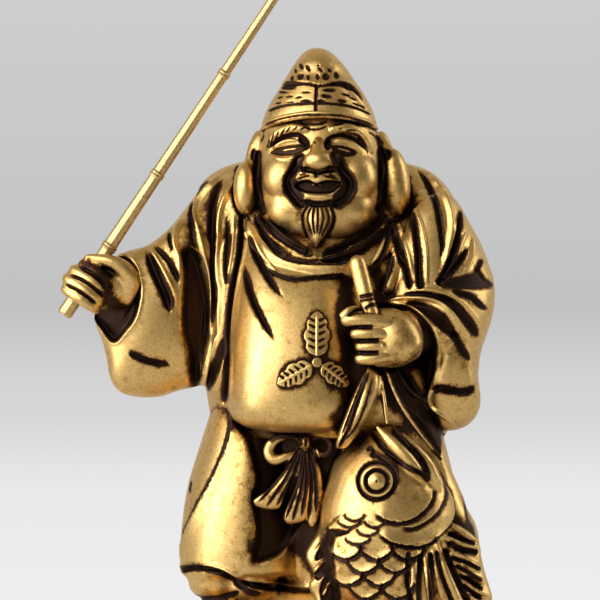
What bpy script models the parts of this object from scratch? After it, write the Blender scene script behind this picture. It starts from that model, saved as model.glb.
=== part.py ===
"""A standing lucky-god figure of cast metal, with a loose bamboo rod through its raised fist.

The figure, its sea bream and the low plinth are one casting. The rod is a piece of its own that slides
through the fist. Everything on the figure is laid out in carver's units: MM is one millimetre while
BODY_HEIGHT is 150 mm. X runs to the viewer's right, Y to the back and Z up from the plinth's top.
"""

import math

import bmesh
import bpy
import numpy as np
from mathutils import Vector

# Driving sizes, in metres
BODY_HEIGHT = 0.150
PLINTH_WIDTH = 0.086
PLINTH_DEPTH = 0.068
PLINTH_HEIGHT = 0.005
PLINTH_EDGE = 0.0012
ROD_BUTT_DIAMETER = 0.0039
ROD_TIP_DIAMETER = 0.0018
ROD_LENGTH = 0.131
ROD_BELOW_FIST = 0.0108
ROD_CLEARANCE = 0.0003
ROD_JOINT_RISE = 0.0003
ROD_JOINT_REACH = 0.0009
ROD_JOINT_LIP = 0.0004
ROD_END_TAPER = 0.0006
ROD_END_EDGE = 0.0004
ROD_JOINTS = (0.0204, 0.0420, 0.0720, 0.1095)
BORE_START = -0.004
BORE_END = 0.0190

MM = BODY_HEIGHT / 150

# How finely the casting is modelled
FORM_VOXEL = 0.8 * MM
FINAL_VOXEL = 0.7 * MM
FIGURE_TRIANGLES = 8600
RING_POINTS = 28

GRIP = (-60.3, -12.5, 92.7)
ROD_LEAN = (0.553, 0.0, 0.833)


def clear_scene():
    for old in list(bpy.data.objects):
        bpy.data.objects.remove(old, do_unlink=True)


def smooth_line(points, closed=False, per_span=6):
    """A smooth curve through the given points, as rows of an array."""
    points = np.array(points, float)
    count = len(points)
    line = []
    for i in range(count if closed else count - 1):
        if closed:
            a, b, c, d = (points[(i + k) % count] for k in (-1, 0, 1, 2))
        else:
            a, b, c, d = (points[min(max(i + k, 0), count - 1)] for k in (-1, 0, 1, 2))
        for t in np.arange(per_span) / per_span:
            line.append(
                0.5 * (2 * b + (c - a) * t + (2 * a - 5 * b + 4 * c - d) * t**2 + (3 * b - a - 3 * c + d) * t**3)
            )
    if not closed:
        line.append(points[-1])
    return np.array(line)


def ring_stack(sections, lift=0.0, corner=2.0):
    """Rings, each (z, x, y, half width, half depth). Lift is how steeply they rise to the front."""
    angle = np.linspace(0, 2 * math.pi, RING_POINTS, endpoint=False)
    across = np.sign(np.cos(angle)) * abs(np.cos(angle)) ** (2 / corner)
    along = np.sign(np.sin(angle)) * abs(np.sin(angle)) ** (2 / corner)
    rings = []
    for z, x, y, wide, deep in smooth_line(sections, per_span=4):
        rings.append(np.stack([x + wide * across, y + deep * along, z - lift * deep * along], 1))
    return rings


def pebble(outline, y, front, back, full=1.0, tilt=(0.0, 0.0), centre=None):
    """An outline of (x, z) points swelled to the front and back, like a flat stone."""
    edge = smooth_line(outline, closed=True, per_span=3)
    middle = np.array(centre) if centre is not None else edge.mean(0)
    rings = []
    for turn in np.linspace(-88, 88, 13):
        share = math.cos(math.radians(turn))
        depth = abs(math.sin(math.radians(turn))) ** full
        flat = middle + (edge - middle) * share
        level = y + (back * depth if turn > 0 else -front * depth)
        level = level + (flat - middle) @ np.array(tilt)
        rings.append(np.stack([flat[:, 0], level, flat[:, 1]], 1))
    return rings


def ball(centre, radii, turn=0.0):
    """An ellipsoid, turned in the front view by some degrees."""
    c, s = math.cos(math.radians(turn)), math.sin(math.radians(turn))
    angle = np.linspace(0, 2 * math.pi, RING_POINTS, endpoint=False)
    rings = []
    for rise in np.linspace(-86, 86, 13):
        share, high = math.cos(math.radians(rise)), math.sin(math.radians(rise))
        x = radii[0] * share * np.cos(angle)
        z = np.full_like(x, radii[2] * high)
        y = radii[1] * share * np.sin(angle)
        rings.append(np.stack([x * c - z * s, y, x * s + z * c], 1) + np.array(centre))
    return rings


def limb(points, radii, flat=1.0):
    """A round-ended tube through the points. Flat is its thickness front to back as a share of its width."""
    rows = smooth_line(np.column_stack([points, radii]), per_span=5)
    centres, radius = rows[:, :3], rows[:, 3]
    along = np.gradient(centres, axis=0)
    along /= np.linalg.norm(along, axis=1)[:, None]
    angle = np.linspace(0, 2 * math.pi, 14, endpoint=False)
    rings = []

    def add_ring(centre, way, size):
        sideways = np.cross(way, (0.02, 1.0, 0.03))
        sideways /= np.linalg.norm(sideways)
        forward = np.cross(sideways, way)
        turn = np.outer(np.cos(angle), sideways) + flat * np.outer(np.sin(angle), forward)
        rings.append(centre + size * turn)

    for rise in (80, 50, 25):
        drop = radius[0] * math.sin(math.radians(rise))
        add_ring(centres[0] - along[0] * drop, along[0], radius[0] * math.cos(math.radians(rise)))
    for centre, way, size in zip(centres, along, radius):
        add_ring(centre, way, size)
    for rise in (25, 50, 80):
        drop = radius[-1] * math.sin(math.radians(rise))
        add_ring(centres[-1] + along[-1] * drop, along[-1], radius[-1] * math.cos(math.radians(rise)))
    return rings


def lump(name, forms, voxel, rounding):
    """One closed mesh from forms that overlap, with its seams rounded off."""
    shape = bmesh.new()
    for rings in forms:
        loops = [[shape.verts.new(Vector(point) * MM) for point in ring] for ring in rings]
        for low, high in zip(loops, loops[1:]):
            for i in range(len(low)):
                j = (i + 1) % len(low)
                shape.faces.new((low[i], low[j], high[j], high[i]))
        shape.faces.new(loops[0][::-1])
        shape.faces.new(loops[-1])
    bmesh.ops.recalc_face_normals(shape, faces=shape.faces)
    mesh = bpy.data.meshes.new(name)
    shape.to_mesh(mesh)
    shape.free()
    obj = bpy.data.objects.new(name, mesh)
    bpy.context.scene.collection.objects.link(obj)
    fuse = obj.modifiers.new("Fuse", "REMESH")
    fuse.mode = "VOXEL"
    fuse.voxel_size = voxel
    soften = obj.modifiers.new("Round the seams", "SMOOTH")
    soften.iterations = rounding
    return settle(obj)


def settle(obj):
    """Applies an object's modifiers to its mesh."""
    graph = bpy.context.evaluated_depsgraph_get()
    mesh = bpy.data.meshes.new_from_object(obj.evaluated_get(graph))
    obj.modifiers.clear()
    obj.data = mesh
    return obj


def near_line(spots, line):
    """For each spot: its distance from the line, how far along it lies (0 to 1), its side (1 is left)."""
    steps = np.linalg.norm(np.diff(line, axis=0), axis=1)
    passed = np.concatenate([[0], np.cumsum(steps)]) / steps.sum()
    gap = np.full(len(spots), 1e9)
    share = np.zeros(len(spots))
    side = np.ones(len(spots))
    for start, end, begun, ended in zip(line, line[1:], passed, passed[1:]):
        way = end - start
        t = np.clip(((spots - start) @ way) / (way @ way), 0, 1)
        off = spots - start - t[:, None] * way
        distance = np.hypot(off[:, 0], off[:, 1])
        nearer = distance < gap
        gap[nearer] = distance[nearer]
        share[nearer] = (begun + (ended - begun) * t)[nearer]
        side[nearer] = np.sign(way[0] * off[:, 1] - way[1] * off[:, 0])[nearer]
    return gap, share, side


def strength(share, fade):
    """A stroke's strength along its length: it rises over the first part and dies away over the last."""
    rise = np.clip(share / max(fade[0], 1e-6), 0, 1)
    fall = np.clip((1 - share) / max(fade[1], 1e-6), 0, 1)
    return np.sin(rise * math.pi / 2) * np.sin(fall * math.pi / 2)


def within(spots, line, reach):
    """Which spots lie in the line's box, widened by reach."""
    low, high = line.min(0) - reach, line.max(0) + reach
    return np.nonzero(((spots > low) & (spots < high)).all(1))[0]


def groove(points, width, depth, fade=(0.35, 0.35)):
    """A valley along the points, which narrows as it fades."""
    line = smooth_line(points)

    def stroke(spots):
        rise = np.zeros(len(spots))
        near = within(spots, line, width)
        gap, share, _ = near_line(spots[near], line)
        power = strength(share, fade)
        wide = width * (0.25 + 0.75 * power)
        rise[near] = -depth * power * (1 - np.clip(gap / wide, 0, 1) ** 2) ** 2
        return rise

    return stroke


def ridge(points, width, height, fade=(0.35, 0.35)):
    """A raised line along the points."""
    return groove(points, width, -height, fade)


def lap(points, height, reach, drop=0.8, fade=(0.15, 0.15)):
    """The edge of an upper layer: cloth to the left of the line stands proud, with a cut under its edge."""
    line = smooth_line(points)

    def stroke(spots):
        rise = np.zeros(len(spots))
        near = within(spots, line, reach)
        gap, share, side = near_line(spots[near], line)
        power = strength(share, fade)
        over = height * (1 - np.clip(gap / reach, 0, 1)) ** 2
        under = -height * (1 - np.clip(gap / drop, 0, 1)) ** 2
        rise[near] = power * np.where(side > 0, over, under)
        return rise

    return stroke


def hollow(outline, depth, edge=1.0):
    """A sunk area inside a closed outline."""
    line = smooth_line(outline, closed=True)
    line = np.vstack([line, line[:1]])

    def stroke(spots):
        rise = np.zeros(len(spots))
        near = within(spots, line, edge)
        flat = spots[near]
        gap, _, _ = near_line(flat, line)
        inside = np.zeros(len(flat), bool)
        for (ax, az), (bx, bz) in zip(line, line[1:]):
            crosses = (az > flat[:, 1]) != (bz > flat[:, 1])
            inside ^= crosses & (flat[:, 0] < ax + (flat[:, 1] - az) * (bx - ax) / (bz - az + 1e-12))
        rise[near] = -depth * np.clip(0.5 + np.where(inside, gap, -gap) / (2 * edge), 0, 1)
        return rise

    return stroke


def swell(centre, radii, height, turn=0.0):
    """A soft rounded rise, or a dip where the height is negative."""
    c, s = math.cos(math.radians(turn)), math.sin(math.radians(turn))

    def stroke(spots):
        off = spots - np.array(centre)
        across = (off[:, 0] * c + off[:, 1] * s) / radii[0]
        upward = (off[:, 1] * c - off[:, 0] * s) / radii[1]
        return height * np.clip(1 - across**2 - upward**2, 0, 1) ** 2

    return stroke


def carve(obj, front=(), back=()):
    """Cuts strokes laid out in the front view into the faces that look forward, or those that look back."""
    mesh = obj.data
    spots = np.empty(len(mesh.vertices) * 3, np.float32)
    mesh.vertices.foreach_get("co", spots)
    spots = spots.reshape(-1, 3) / MM
    ways = np.empty(len(mesh.vertices) * 3, np.float32)
    mesh.vertex_normals.foreach_get("vector", ways)
    ways = ways.reshape(-1, 3)
    flat = spots[:, (0, 2)].astype(float)
    push = np.zeros(len(spots))
    for strokes, looks in ((front, -ways[:, 1]), (back, ways[:, 1])):
        facing = np.clip(looks * 2.5 + 0.2, 0, 1)
        seen = np.nonzero(facing > 0)[0]
        for stroke in strokes:
            push[seen] += facing[seen] * stroke(flat[seen])
    spots += ways * push[:, None]
    mesh.vertices.foreach_set("co", (spots * MM).ravel().astype(np.float32))
    mesh.update()
    return obj


def head_forms():
    face = ring_stack([
        (101.6, -2.5, -9.0, 5.0, 5.0),
        (103.4, -2.5, -8.5, 10.2, 9.0),
        (107.0, -2.5, -7.5, 14.0, 12.0),
        (112.0, -2.5, -7.0, 15.7, 13.5),
        (117.0, -2.5, -6.5, 15.9, 14.0),
        (123.0, -2.6, -6.0, 15.4, 14.0),
        (129.5, -2.7, -5.5, 14.2, 13.5),
        (134.0, -2.7, -5.0, 12.6, 11.6),
    ])
    ears = [
        ball((-18.3, -4.0, 125.5), (1.9, 3.5, 4.6), turn=-8),
        ball((-21.2, -9.2, 115.3), (3.0, 4.2, 6.7)),
        limb([(-18.9, -5.5, 126), (-20.0, -8, 119)], [1.6, 2.2]),
        ball((13.3, -3.5, 125.5), (1.9, 3.5, 4.4), turn=8),
        ball((16.3, -8.0, 116.8), (3.7, 4.4, 8.7), turn=6),
        limb([(13.6, -5.0, 126.5), (15.2, -7, 121)], [1.6, 2.4]),
    ]
    cheeks = [
        ball((-11.0, -13.6, 118.0), (5.8, 6.2, 6.6)),
        ball((6.0, -13.6, 118.0), (5.8, 6.2, 6.6)),
        ball((-9.6, -12.0, 110.4), (6.4, 7.0, 6.4)),
        ball((4.6, -12.0, 110.4), (6.4, 7.0, 6.4)),
        ball((-2.8, -15.5, 109.5), (5.5, 4.0, 4.0)),
    ]
    return [face, *ears, *cheeks]


def face_forms():
    nose = [
        limb([(-3.2, -18.0, 127.5), (-3.0, -19.6, 125.5), (-3.0, -21.2, 122.6)], [1.2, 1.8, 2.7]),
        ball((-3.0, -21.8, 122.0), (3.1, 2.6, 2.4)),
        ball((-6.0, -20.0, 121.5), (1.8, 2.0, 1.7)),
        ball((0.2, -20.0, 121.5), (1.8, 2.0, 1.7)),
    ]
    brows = [
        limb([(-15.4, -13.2, 125.5), (-13.3, -15.6, 128.6), (-9.5, -17.6, 130.1), (-6, -18.4, 129.8)],
             [0.8, 1.1, 1.2, 0.9]),
        limb([(0.6, -18.4, 129.9), (4.5, -17.6, 130.2), (8.0, -15.6, 128.4), (10.2, -13.2, 124.6)],
             [0.9, 1.2, 1.1, 0.8]),
    ]
    lips = [
        limb([(-9.2, -16.8, 117.0), (-6.6, -18.8, 118.6), (-3.6, -19.9, 118.3)], [0.5, 1.2, 0.8]),
        limb([(-2.6, -19.9, 118.2), (0.4, -18.9, 118.5), (3.4, -16.8, 117.2)], [0.8, 1.2, 0.5]),
        limb([(-6.3, -17.6, 113.3), (-2.8, -18.9, 113.0), (0.7, -17.6, 113.3)], [0.8, 0.95, 0.8]),
        ball((-2.8, -16.4, 110.8), (3.2, 2.6, 1.6)),
    ]
    beard = pebble([(-5.8, 111.2), (-2.8, 111.8), (0.2, 111.2), (0.8, 107.8), (-0.6, 104.0), (-3.5, 100.4),
                    (-5.4, 103.5), (-6.6, 107.2)], -17.3, 4.4, 3.5, full=0.7)
    return [*nose, *brows, *lips, beard]


def cap_forms():
    shell = ring_stack([
        (129.9, -2.7, -5.5, 14.3, 13.9),
        (131.6, -2.7, -5.4, 14.3, 13.9),
        (136.0, -2.6, -5.0, 12.6, 12.5),
        (141.0, -2.6, -4.5, 9.4, 10.9),
        (145.0, -2.8, -4.0, 6.9, 9.7),
        (148.2, -3.1, -3.2, 4.3, 6.9),
        (149.6, -3.3, -2.4, 2.4, 3.8),
        (150.1, -3.4, -2.4, 0.8, 1.4),
    ], lift=0.22)
    return [shell]


def rim_forms():
    return [limb([(-17.0, -6, 130.0), (-14.0, -14.2, 131.7), (-8.0, -18.6, 133.0), (-2.6, -19.8, 133.5),
                  (3.0, -18.6, 133.1), (8.6, -14.2, 131.8), (11.6, -6, 130.2)],
                 [0.5, 0.75, 0.85, 0.85, 0.85, 0.75, 0.5])]


def robe_forms():
    body = ring_stack([
        (53.0, 0.5, 1.0, 28.0, 22.0),
        (59.0, 0.5, 0.0, 30.5, 24.5),
        (70.0, 0.0, 0.0, 31.5, 26.0),
        (83.0, -1.0, 0.5, 31.5, 24.5),
        (95.0, -1.5, 1.5, 32.0, 21.5),
        (105.0, -1.0, 3.5, 32.5, 17.0),
        (112.0, -1.0, 5.0, 32.3, 13.5),
        (116.0, -1.7, 5.5, 31.0, 12.5),
        (120.0, -1.9, 6.0, 26.5, 11.0),
        (122.5, -2.3, 6.5, 18.7, 9.5),
        (124.0, -2.5, 7.0, 10.0, 6.5),
    ])
    neck = ball((-2.5, -5.0, 100.0), (12.0, 12.6, 8.6))
    panel = ring_stack([
        (54.8, -7.5, -8.0, 8.0, 18.0),
        (56.2, -8.0, -9.5, 14.0, 19.5),
        (59.0, -8.6, -10.5, 16.4, 20.5),
        (64.0, -8.9, -11.0, 16.7, 21.0),
        (75.0, -8.5, -11.0, 16.4, 20.6),
        (86.0, -8.2, -9.5, 15.8, 19.0),
        (94.0, -8.0, -7.5, 15.2, 16.6),
        (100.0, -8.5, -5.0, 14.2, 13.6),
        (106.0, -9.5, -3.0, 13.0, 10.0),
    ], corner=2.7)
    return [body, neck, panel]


def collar_forms():
    return [
        limb([(-21.5, -9.5, 113), (-20.6, -14.5, 107), (-17.8, -18.6, 101), (-12.5, -21.6, 97.0),
              (-4, -23.4, 95.3), (5, -22.8, 95.0), (9, -21.6, 95.2)],
        [1.1, 1.5, 1.75, 1.75, 1.75, 1.7, 1.6], flat=0.5),
        limb([(-18.3, -12.5, 108.2), (-14.3, -16.8, 103.4), (-8.5, -19.6, 99.4), (-3.6, -20.6, 98.0)],
             [0.6, 0.9, 0.9, 0.6], flat=0.7),
        limb([(-16.0, -13.5, 107.6), (-11.5, -17.0, 102.9), (-6.0, -19.2, 99.8)], [0.6, 0.9, 0.5],
             flat=0.7),
        limb([(14.2, -11.5, 108), (10.0, -16.5, 102.6), (3.0, -19.6, 98.8), (-2.6, -20.6, 97.8)],
             [0.7, 0.9, 0.8, 0.5], flat=0.7),
        limb([(16.2, -11.0, 108), (14.2, -15.5, 101.5), (10.2, -19.0, 95.0)], [1.2, 1.6, 1.1], flat=0.7),
        limb([(17.4, -12.0, 106), (16.8, -16.5, 98.5), (14.3, -20, 90)], [1.0, 1.6, 1.2], flat=0.7),
    ]


def rod_sleeve_forms():
    hanging = pebble([(-32.5, 108.8), (-38.5, 106.6), (-42.5, 103.3), (-46, 101.0), (-50.5, 99.8),
                      (-54.5, 97.5),
                      (-57.8, 90), (-58.8, 83), (-56.8, 77.0), (-55.7, 72.5), (-54.9, 68), (-52.6, 64.6),
                      (-48, 63.2), (-42.5, 63.3), (-38, 64.8), (-33.0, 66.0), (-29.0, 69), (-27, 87.5),
                      (-28.8, 102.5)], -5.0, 10.0, 8.0, full=0.75, tilt=(0.12, 0.0), centre=(-43.0, 84.0))
    upper_arm = limb([(-24, 2, 108), (-34, -1, 99.5), (-44, -5, 92.5)], [11.5, 8.8, 7.0])
    return [hanging, upper_arm]


def fish_sleeve_forms():
    hanging = pebble([(30.5, 113.5), (35, 106.5), (38.0, 100), (40.6, 93.8), (41.2, 87.5), (40, 81.3),
                      (37.8, 75),
                      (37, 68.8), (37.6, 62.5), (36.6, 58.7), (33.8, 55.9), (29.3, 54.8), (25.5, 56.3),
                      (24.3, 62), (25.5, 70), (24.5, 76.3), (21.3, 82), (17, 85.5), (13.8, 87),
        (15.5, 91.3),
                      (17.5, 100), (20, 108.8), (25, 113.8)], -8.0, 13.0, 12.0, full=0.75, tilt=(0.35, 0.0),
                     centre=(31.0, 80.0))
    upper_arm = limb([(23.5, 4, 108.5), (29.4, 1, 99.0), (31.8, -5, 88), (27, -15, 82), (20, -22, 80)],
                     [8.0, 8.8, 9.2, 8.6, 5.5])
    return [hanging, upper_arm]


def rod_hand_forms():
    """A fist round the rod: fingers cross it square, in steps along it."""
    centre = np.array(GRIP)
    along = np.array(ROD_LEAN) / np.linalg.norm(ROD_LEAN)
    across = np.array((along[2], 0.0, -along[0]))
    forward = np.array((0.0, -1.0, 0.0))
    forms = [
        ball((-54.6, -10.8, 91.2), (6.0, 5.4, 6.4), turn=-20),
        limb([(-55.0, -10.0, 91.0), (-50, -8.5, 92), (-44, -6, 92)], [5.2, 5.2, 5.2]),
        limb([(-50.6, -12.0, 88.2), (-49.6, -14.0, 92.2), (-51.8, -15.6, 95.6), (-55.6, -16.2, 97.3),
              (-60.0, -15.2, 97.8)], [2.2, 2.5, 2.1, 1.6, 1.3]),
    ]
    for step, size, start, end in ((2.6, 1.45, -2.4, 5.0), (0.05, 1.5, -3.5, 6.0), (-2.65, 1.5, -3.8, 5.8),
                                   (-5.1, 1.4, -2.7, 6.0)):
        bends = ((start, -1.0), (start - 0.4, 1.6), (start + 1.6, 3.6), (1.2, 4.5), (end - 1.5, 3.9),
                 (end, 1.8))
        points = [centre + along * step + across * a + forward * f for a, f in bends]
        forms.append(limb(points, [size, size, 1.02 * size, size, size, 0.9 * size]))
    return forms


def fish_hand_forms():
    back = pebble([(10.5, 83.4), (13.8, 85.3), (18, 84.8), (21.6, 81.8), (22.9, 77), (21.2, 73.2),
                   (17, 71.0),
                   (13, 71.0), (10.5, 72.4)], -28.0, 6.6, 6.0, full=0.75)
    return [back, ball((10, -28.0, 78.0), (4.2, 4.4, 6.4)), limb([(17, -26, 79), (26, -16, 81)],
                                                                 [6.0, 6.0])]


def finger_forms():
    forms = []
    for z, tip, size in ((82.6, 3.6, 1.75), (79.2, 5.8, 1.6), (76.0, 7.0, 1.5), (73.0, 6.8, 1.5)):
        forms.append(limb([(14, -31.6, z - 0.1), (tip + 3.5, -33.2, z), (tip + 0.7, -32.4, z),
                           (tip + 0.6, -30.3, z)],
                          [size, size, 0.95 * size, 0.85 * size]))
    forms.append(limb([(8.5, -30, 85.4), (5.0, -32, 85.2), (3.0, -32.2, 83.8)], [0.7, 0.8, 0.8]))
    return forms


def stem_forms():
    return [limb([(6.7, -28.8, 96.6), (8.0, -29.8, 91.5), (9.1, -30.6, 87.0), (10.4, -31.2, 83.0)],
                 [1.75, 1.95, 1.95, 1.95])]


def leaf_forms():
    broad = pebble([(9.7, 71.5), (12.2, 68), (10.9, 61.3), (7.6, 55.6), (4.4, 51.3), (2.2, 51.2),
                    (4.2, 56.8),
                    (6.6, 62.5), (8.2, 67.5)], -26.0, 4.2, 5.0, full=0.8)
    narrow = pebble([(8.5, 69.5), (5.4, 63.8), (2.9, 57.5), (1.3, 51.5), (2.4, 51.3), (4.8, 57.5),
                     (7.2, 63.8)],
                    -26.0, 3.2, 5.0, full=0.8)
    slip = limb([(12.6, -25.5, 68.5), (13.4, -27, 62), (13.9, -27.5, 56.2)], [0.6, 0.95, 0.75])
    fan = [
        limb([(13.2, -23.5, 70.5), (17.2, -25, 62), (22.5, -24.5, 55.5), (28.0, -22, 47.5)],
             [0.6, 0.85, 0.9, 0.9]),
        limb([(14.6, -22.5, 70.5), (19.5, -23.5, 61.5), (25.0, -22.5, 55)], [0.6, 0.85, 0.8]),
        limb([(16.6, -21.5, 70), (22.0, -22.5, 62.5), (25.5, -21.5, 59.5)], [0.6, 0.75, 0.6]),
        limb([(11.9, -23.5, 70), (14.8, -25.5, 60), (18.5, -26.0, 54)], [0.6, 0.65, 0.65]),
    ]
    return [broad, narrow, slip, *fan]


def back_cloth_forms():
    """The inner robe behind the leaves, running down beside the fish."""
    return [pebble([(8, 72), (22, 72), (25, 62), (27.5, 54), (29.5, 47), (32.5, 40), (36, 30), (38.5, 20),
                    (40.2, 12),
                    (34, 8), (24, 10), (10, 20), (4, 44), (6, 60)],
        -10.0, 9.5, 10.0, full=0.6, centre=(22.0, 42.0))]


def fish_forms():
    body = pebble(
        [(5.5, 53.5), (10, 56.5), (14.5, 57.5), (18.8, 54.5), (23.5, 50.8), (27, 45.5), (30, 39.3),
         (30.8, 34.5), (29, 30),
         (27.5, 22.5), (26.5, 15), (23.8, 9.5), (18.8, 6.3), (12.5, 6.3), (5, 8.8), (0, 13.3), (-3, 18.8),
         (-4, 25),
         (-3.5, 32.5), (-2.5, 38.8), (-1.3, 43.8), (1.3, 48.8)],
        -15.0, 18.5, 14.0, full=0.85, centre=(13.0, 32.0),
    )
    tail = pebble([(10, 10.5), (5, 2.5), (3.8, -1), (13.8, 0), (22.5, -0.5), (31.3, -1), (27.5, 4.5),
                   (21.3, 10.5)],
                  -19.0, 6.0, 6.0, full=0.6, centre=(16.0, 4.0))
    spines = pebble([(-1, 31.8), (-3.5, 28.8), (-5.8, 25.5), (-5.8, 22), (-4.3, 18.8), (-5.3, 16),
                     (-3.3, 12.5), (-4, 9.5),
                     (-1.5, 6.3), (2.5, 12.5), (2.5, 22.5)], -19.0, 3.0, 4.0, full=0.5, centre=(-1.5, 19.0))
    fins = pebble([(26.8, 30), (30.5, 32.5), (36.8, 27.5), (37.8, 20.8), (40.3, 14), (39.3, 11.8),
                   (35, 10), (30, 11.5),
                   (25.5, 20.5)], -16.0, 4.5, 5.0, full=0.5, centre=(32.0, 20.0), tilt=(0.35, 0.0))
    return [body, tail, spines, fins]


def leg_forms():
    rod_leg = ring_stack([(19.0, -21.9, -4, 15.6, 16.5), (27, -22, -4, 15.4, 17.2),
                          (40, -21.6, -4, 14.2, 17),
                          (52, -20.5, -3, 11.8, 16), (62, -19, -2, 10, 14)])
    fish_leg = ring_stack([(18.0, 21.3, -2, 16.6, 16.5), (30, 21, -2, 15.9, 17), (37, 19, -2, 14.4, 17),
                           (44, 17.6, -2, 13.2, 17), (54, 17.0, -2, 11.2, 16), (62, 15, -1, 10, 14)])
    middle = ring_stack([(15, 0, 2, 12, 17), (30, -1, 2, 14, 19), (45, -1, 2, 18, 20), (60, 0, 1, 22, 20)])
    train = ring_stack([(-1.5, 0, 9, 22, 11), (12, 0, 9, 21.5, 11.5), (28, 0, 8, 24, 13),
                        (44, 0, 6, 27, 16),
                        (57, 0, 4, 28, 18)])
    puffs = [
        ball((-28.3, -5.0, 16.8), (7.1, 11.5, 4.4)),
        ball((-19.5, -8.0, 15.8), (6.5, 11.0, 3.6)),
        ball((21.0, -5.0, 16.5), (12.0, 11.0, 4.6)),
    ]
    shins = [limb([(-26.3, -6, 17), (-26.0, -6, 3)], [5.4, 5.4]), limb([(23.0, -4, 17), (23.0, -4, 3)],
                                                                       [5.4, 5.4])]
    feet = [ball((-27.0, -14.0, 2.0), (6.2, 12.5, 4.4)), ball((25.5, -12.5, 2.0), (6.2, 12.5, 4.4))]
    return [rod_leg, fish_leg, middle, train, *puffs, *shins, *feet]


def sash_forms():
    knot = ball((-6.5, -20.5, 52.3), (1.9, 2.4, 1.9))
    loops = [
        limb([(-7, -19.5, 52.3), (-10, -20.5, 54), (-13.5, -20.5, 54), (-15.6, -20, 51.8),
              (-15.8, -19.5, 49.2),
              (-13.8, -20, 47.5), (-10.5, -20.5, 48.6), (-7.5, -19.5, 51)],
              [0.9, 1.2, 1.5, 1.5, 1.6, 1.5, 1.1, 0.8]),
        limb([(-5.5, -19.5, 52.3), (-3, -20.5, 53.5), (-0.8, -20, 52.5), (-0.2, -20, 50), (-2, -20, 48.8),
              (-4.5, -19.5, 50.5)], [0.8, 1.0, 1.1, 1.1, 1.0, 0.8]),
    ]
    tails = [
        pebble([(-7.5, 51), (-11.3, 45.5), (-15.5, 40.5), (-19.3, 37.3), (-17, 35.6), (-13, 35.3),
                (-11.6, 37.5), (-9.3, 43),
                (-6.3, 50)], -19.0, 2.2, 3.0, full=0.5),
        pebble([(-6.8, 50.5), (-8.3, 42.5), (-11, 35), (-10.5, 32.3), (-7.5, 31.8), (-5.8, 33.3),
                (-5.3, 42.5), (-5.5, 50)],
               -19.0, 2.2, 3.0, full=0.5),
        pebble([(-5.5, 50.5), (-4.8, 42.5), (-5.5, 33.0), (-3.3, 33), (-1.5, 40), (-3, 47.5)],
               -18.5, 1.8, 3.0, full=0.5),
    ]
    return [knot, *loops, *tails]


def circle(centre, radius, count=16):
    """A closed ring of points in the front plane."""
    turns = [2 * math.pi * i / count for i in range(count + 1)]
    return [(centre[0] + radius * math.cos(a), centre[1] + radius * math.sin(a)) for a in turns]


def head_strokes():
    strokes = [
        groove([(-15.0, 125.2), (-12.8, 127.2), (-9.8, 128.6), (-7.2, 128.2), (-5.5, 126.2)], 1.3, 1.1),
        groove([(-12.5, 124.1), (-9.5, 124.9), (-6.5, 125.6)], 1.3, 1.2),
        groove([(-1.2, 126.2), (0.2, 128.2), (3.0, 128.6), (5.5, 128.0), (8.8, 125.8)], 1.3, 1.1),
        groove([(0.5, 125.8), (3.5, 125.2), (6.5, 124.1)], 1.3, 1.2),
        groove([(-6.8, 123.0), (-9.5, 119.5), (-10.2, 115.8), (-8.5, 112.5), (-6.2, 111.0)], 1.5, 1.6),
        groove([(2.0, 123.0), (4.0, 119.5), (5.2, 116.8), (5.0, 113.8), (2.8, 111.5), (0.2, 110.8)],
               1.5, 1.6),
        groove([(-8.5, 116.2), (-6.5, 115.5), (-3.0, 115.0), (0.5, 115.5), (2.8, 116.5)],
               1.7, 2.4, fade=(0.2, 0.2)),
        groove([(-6.8, 111.5), (-3.0, 110.9), (0.8, 111.5)], 1.2, 1.2),
        groove([(-7.5, 119.0), (-3.0, 118.9), (1.5, 119.1)], 0.9, 0.8),
        groove([(-7.0, 131.0), (-4.0, 131.5), (-0.5, 131.0)], 1.0, 0.35),
        groove([(-18.5, 125.5), (-18.2, 121.2), (-18.0, 115.0), (-17.0, 109.5)], 1.0, 1.3, fade=(0.1, 0.1)),
        groove([(12.2, 126.2), (12.8, 121.2), (12.5, 115.0), (11.5, 109.5)], 1.0, 1.3, fade=(0.1, 0.1)),
        groove([(-11.6, 140.6), (-6.0, 141.2), (0.0, 141.5), (4.8, 141.4), (7.5, 139.9)], 0.9, 0.5),
        groove([(-3.4, 140.5), (-3.4, 134.2)], 0.8, 0.35, fade=(0.1, 0.1)),
    ]
    for step in (-1.5, 0.0, 1.5):
        strokes.append(groove([(-3.1 + 1.35 * step, 110), (-3.1 + 1.5 * step, 106.5),
                               (-3.2 + 0.2 * step, 100.5)], 0.6, 0.5))
    return strokes


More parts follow.
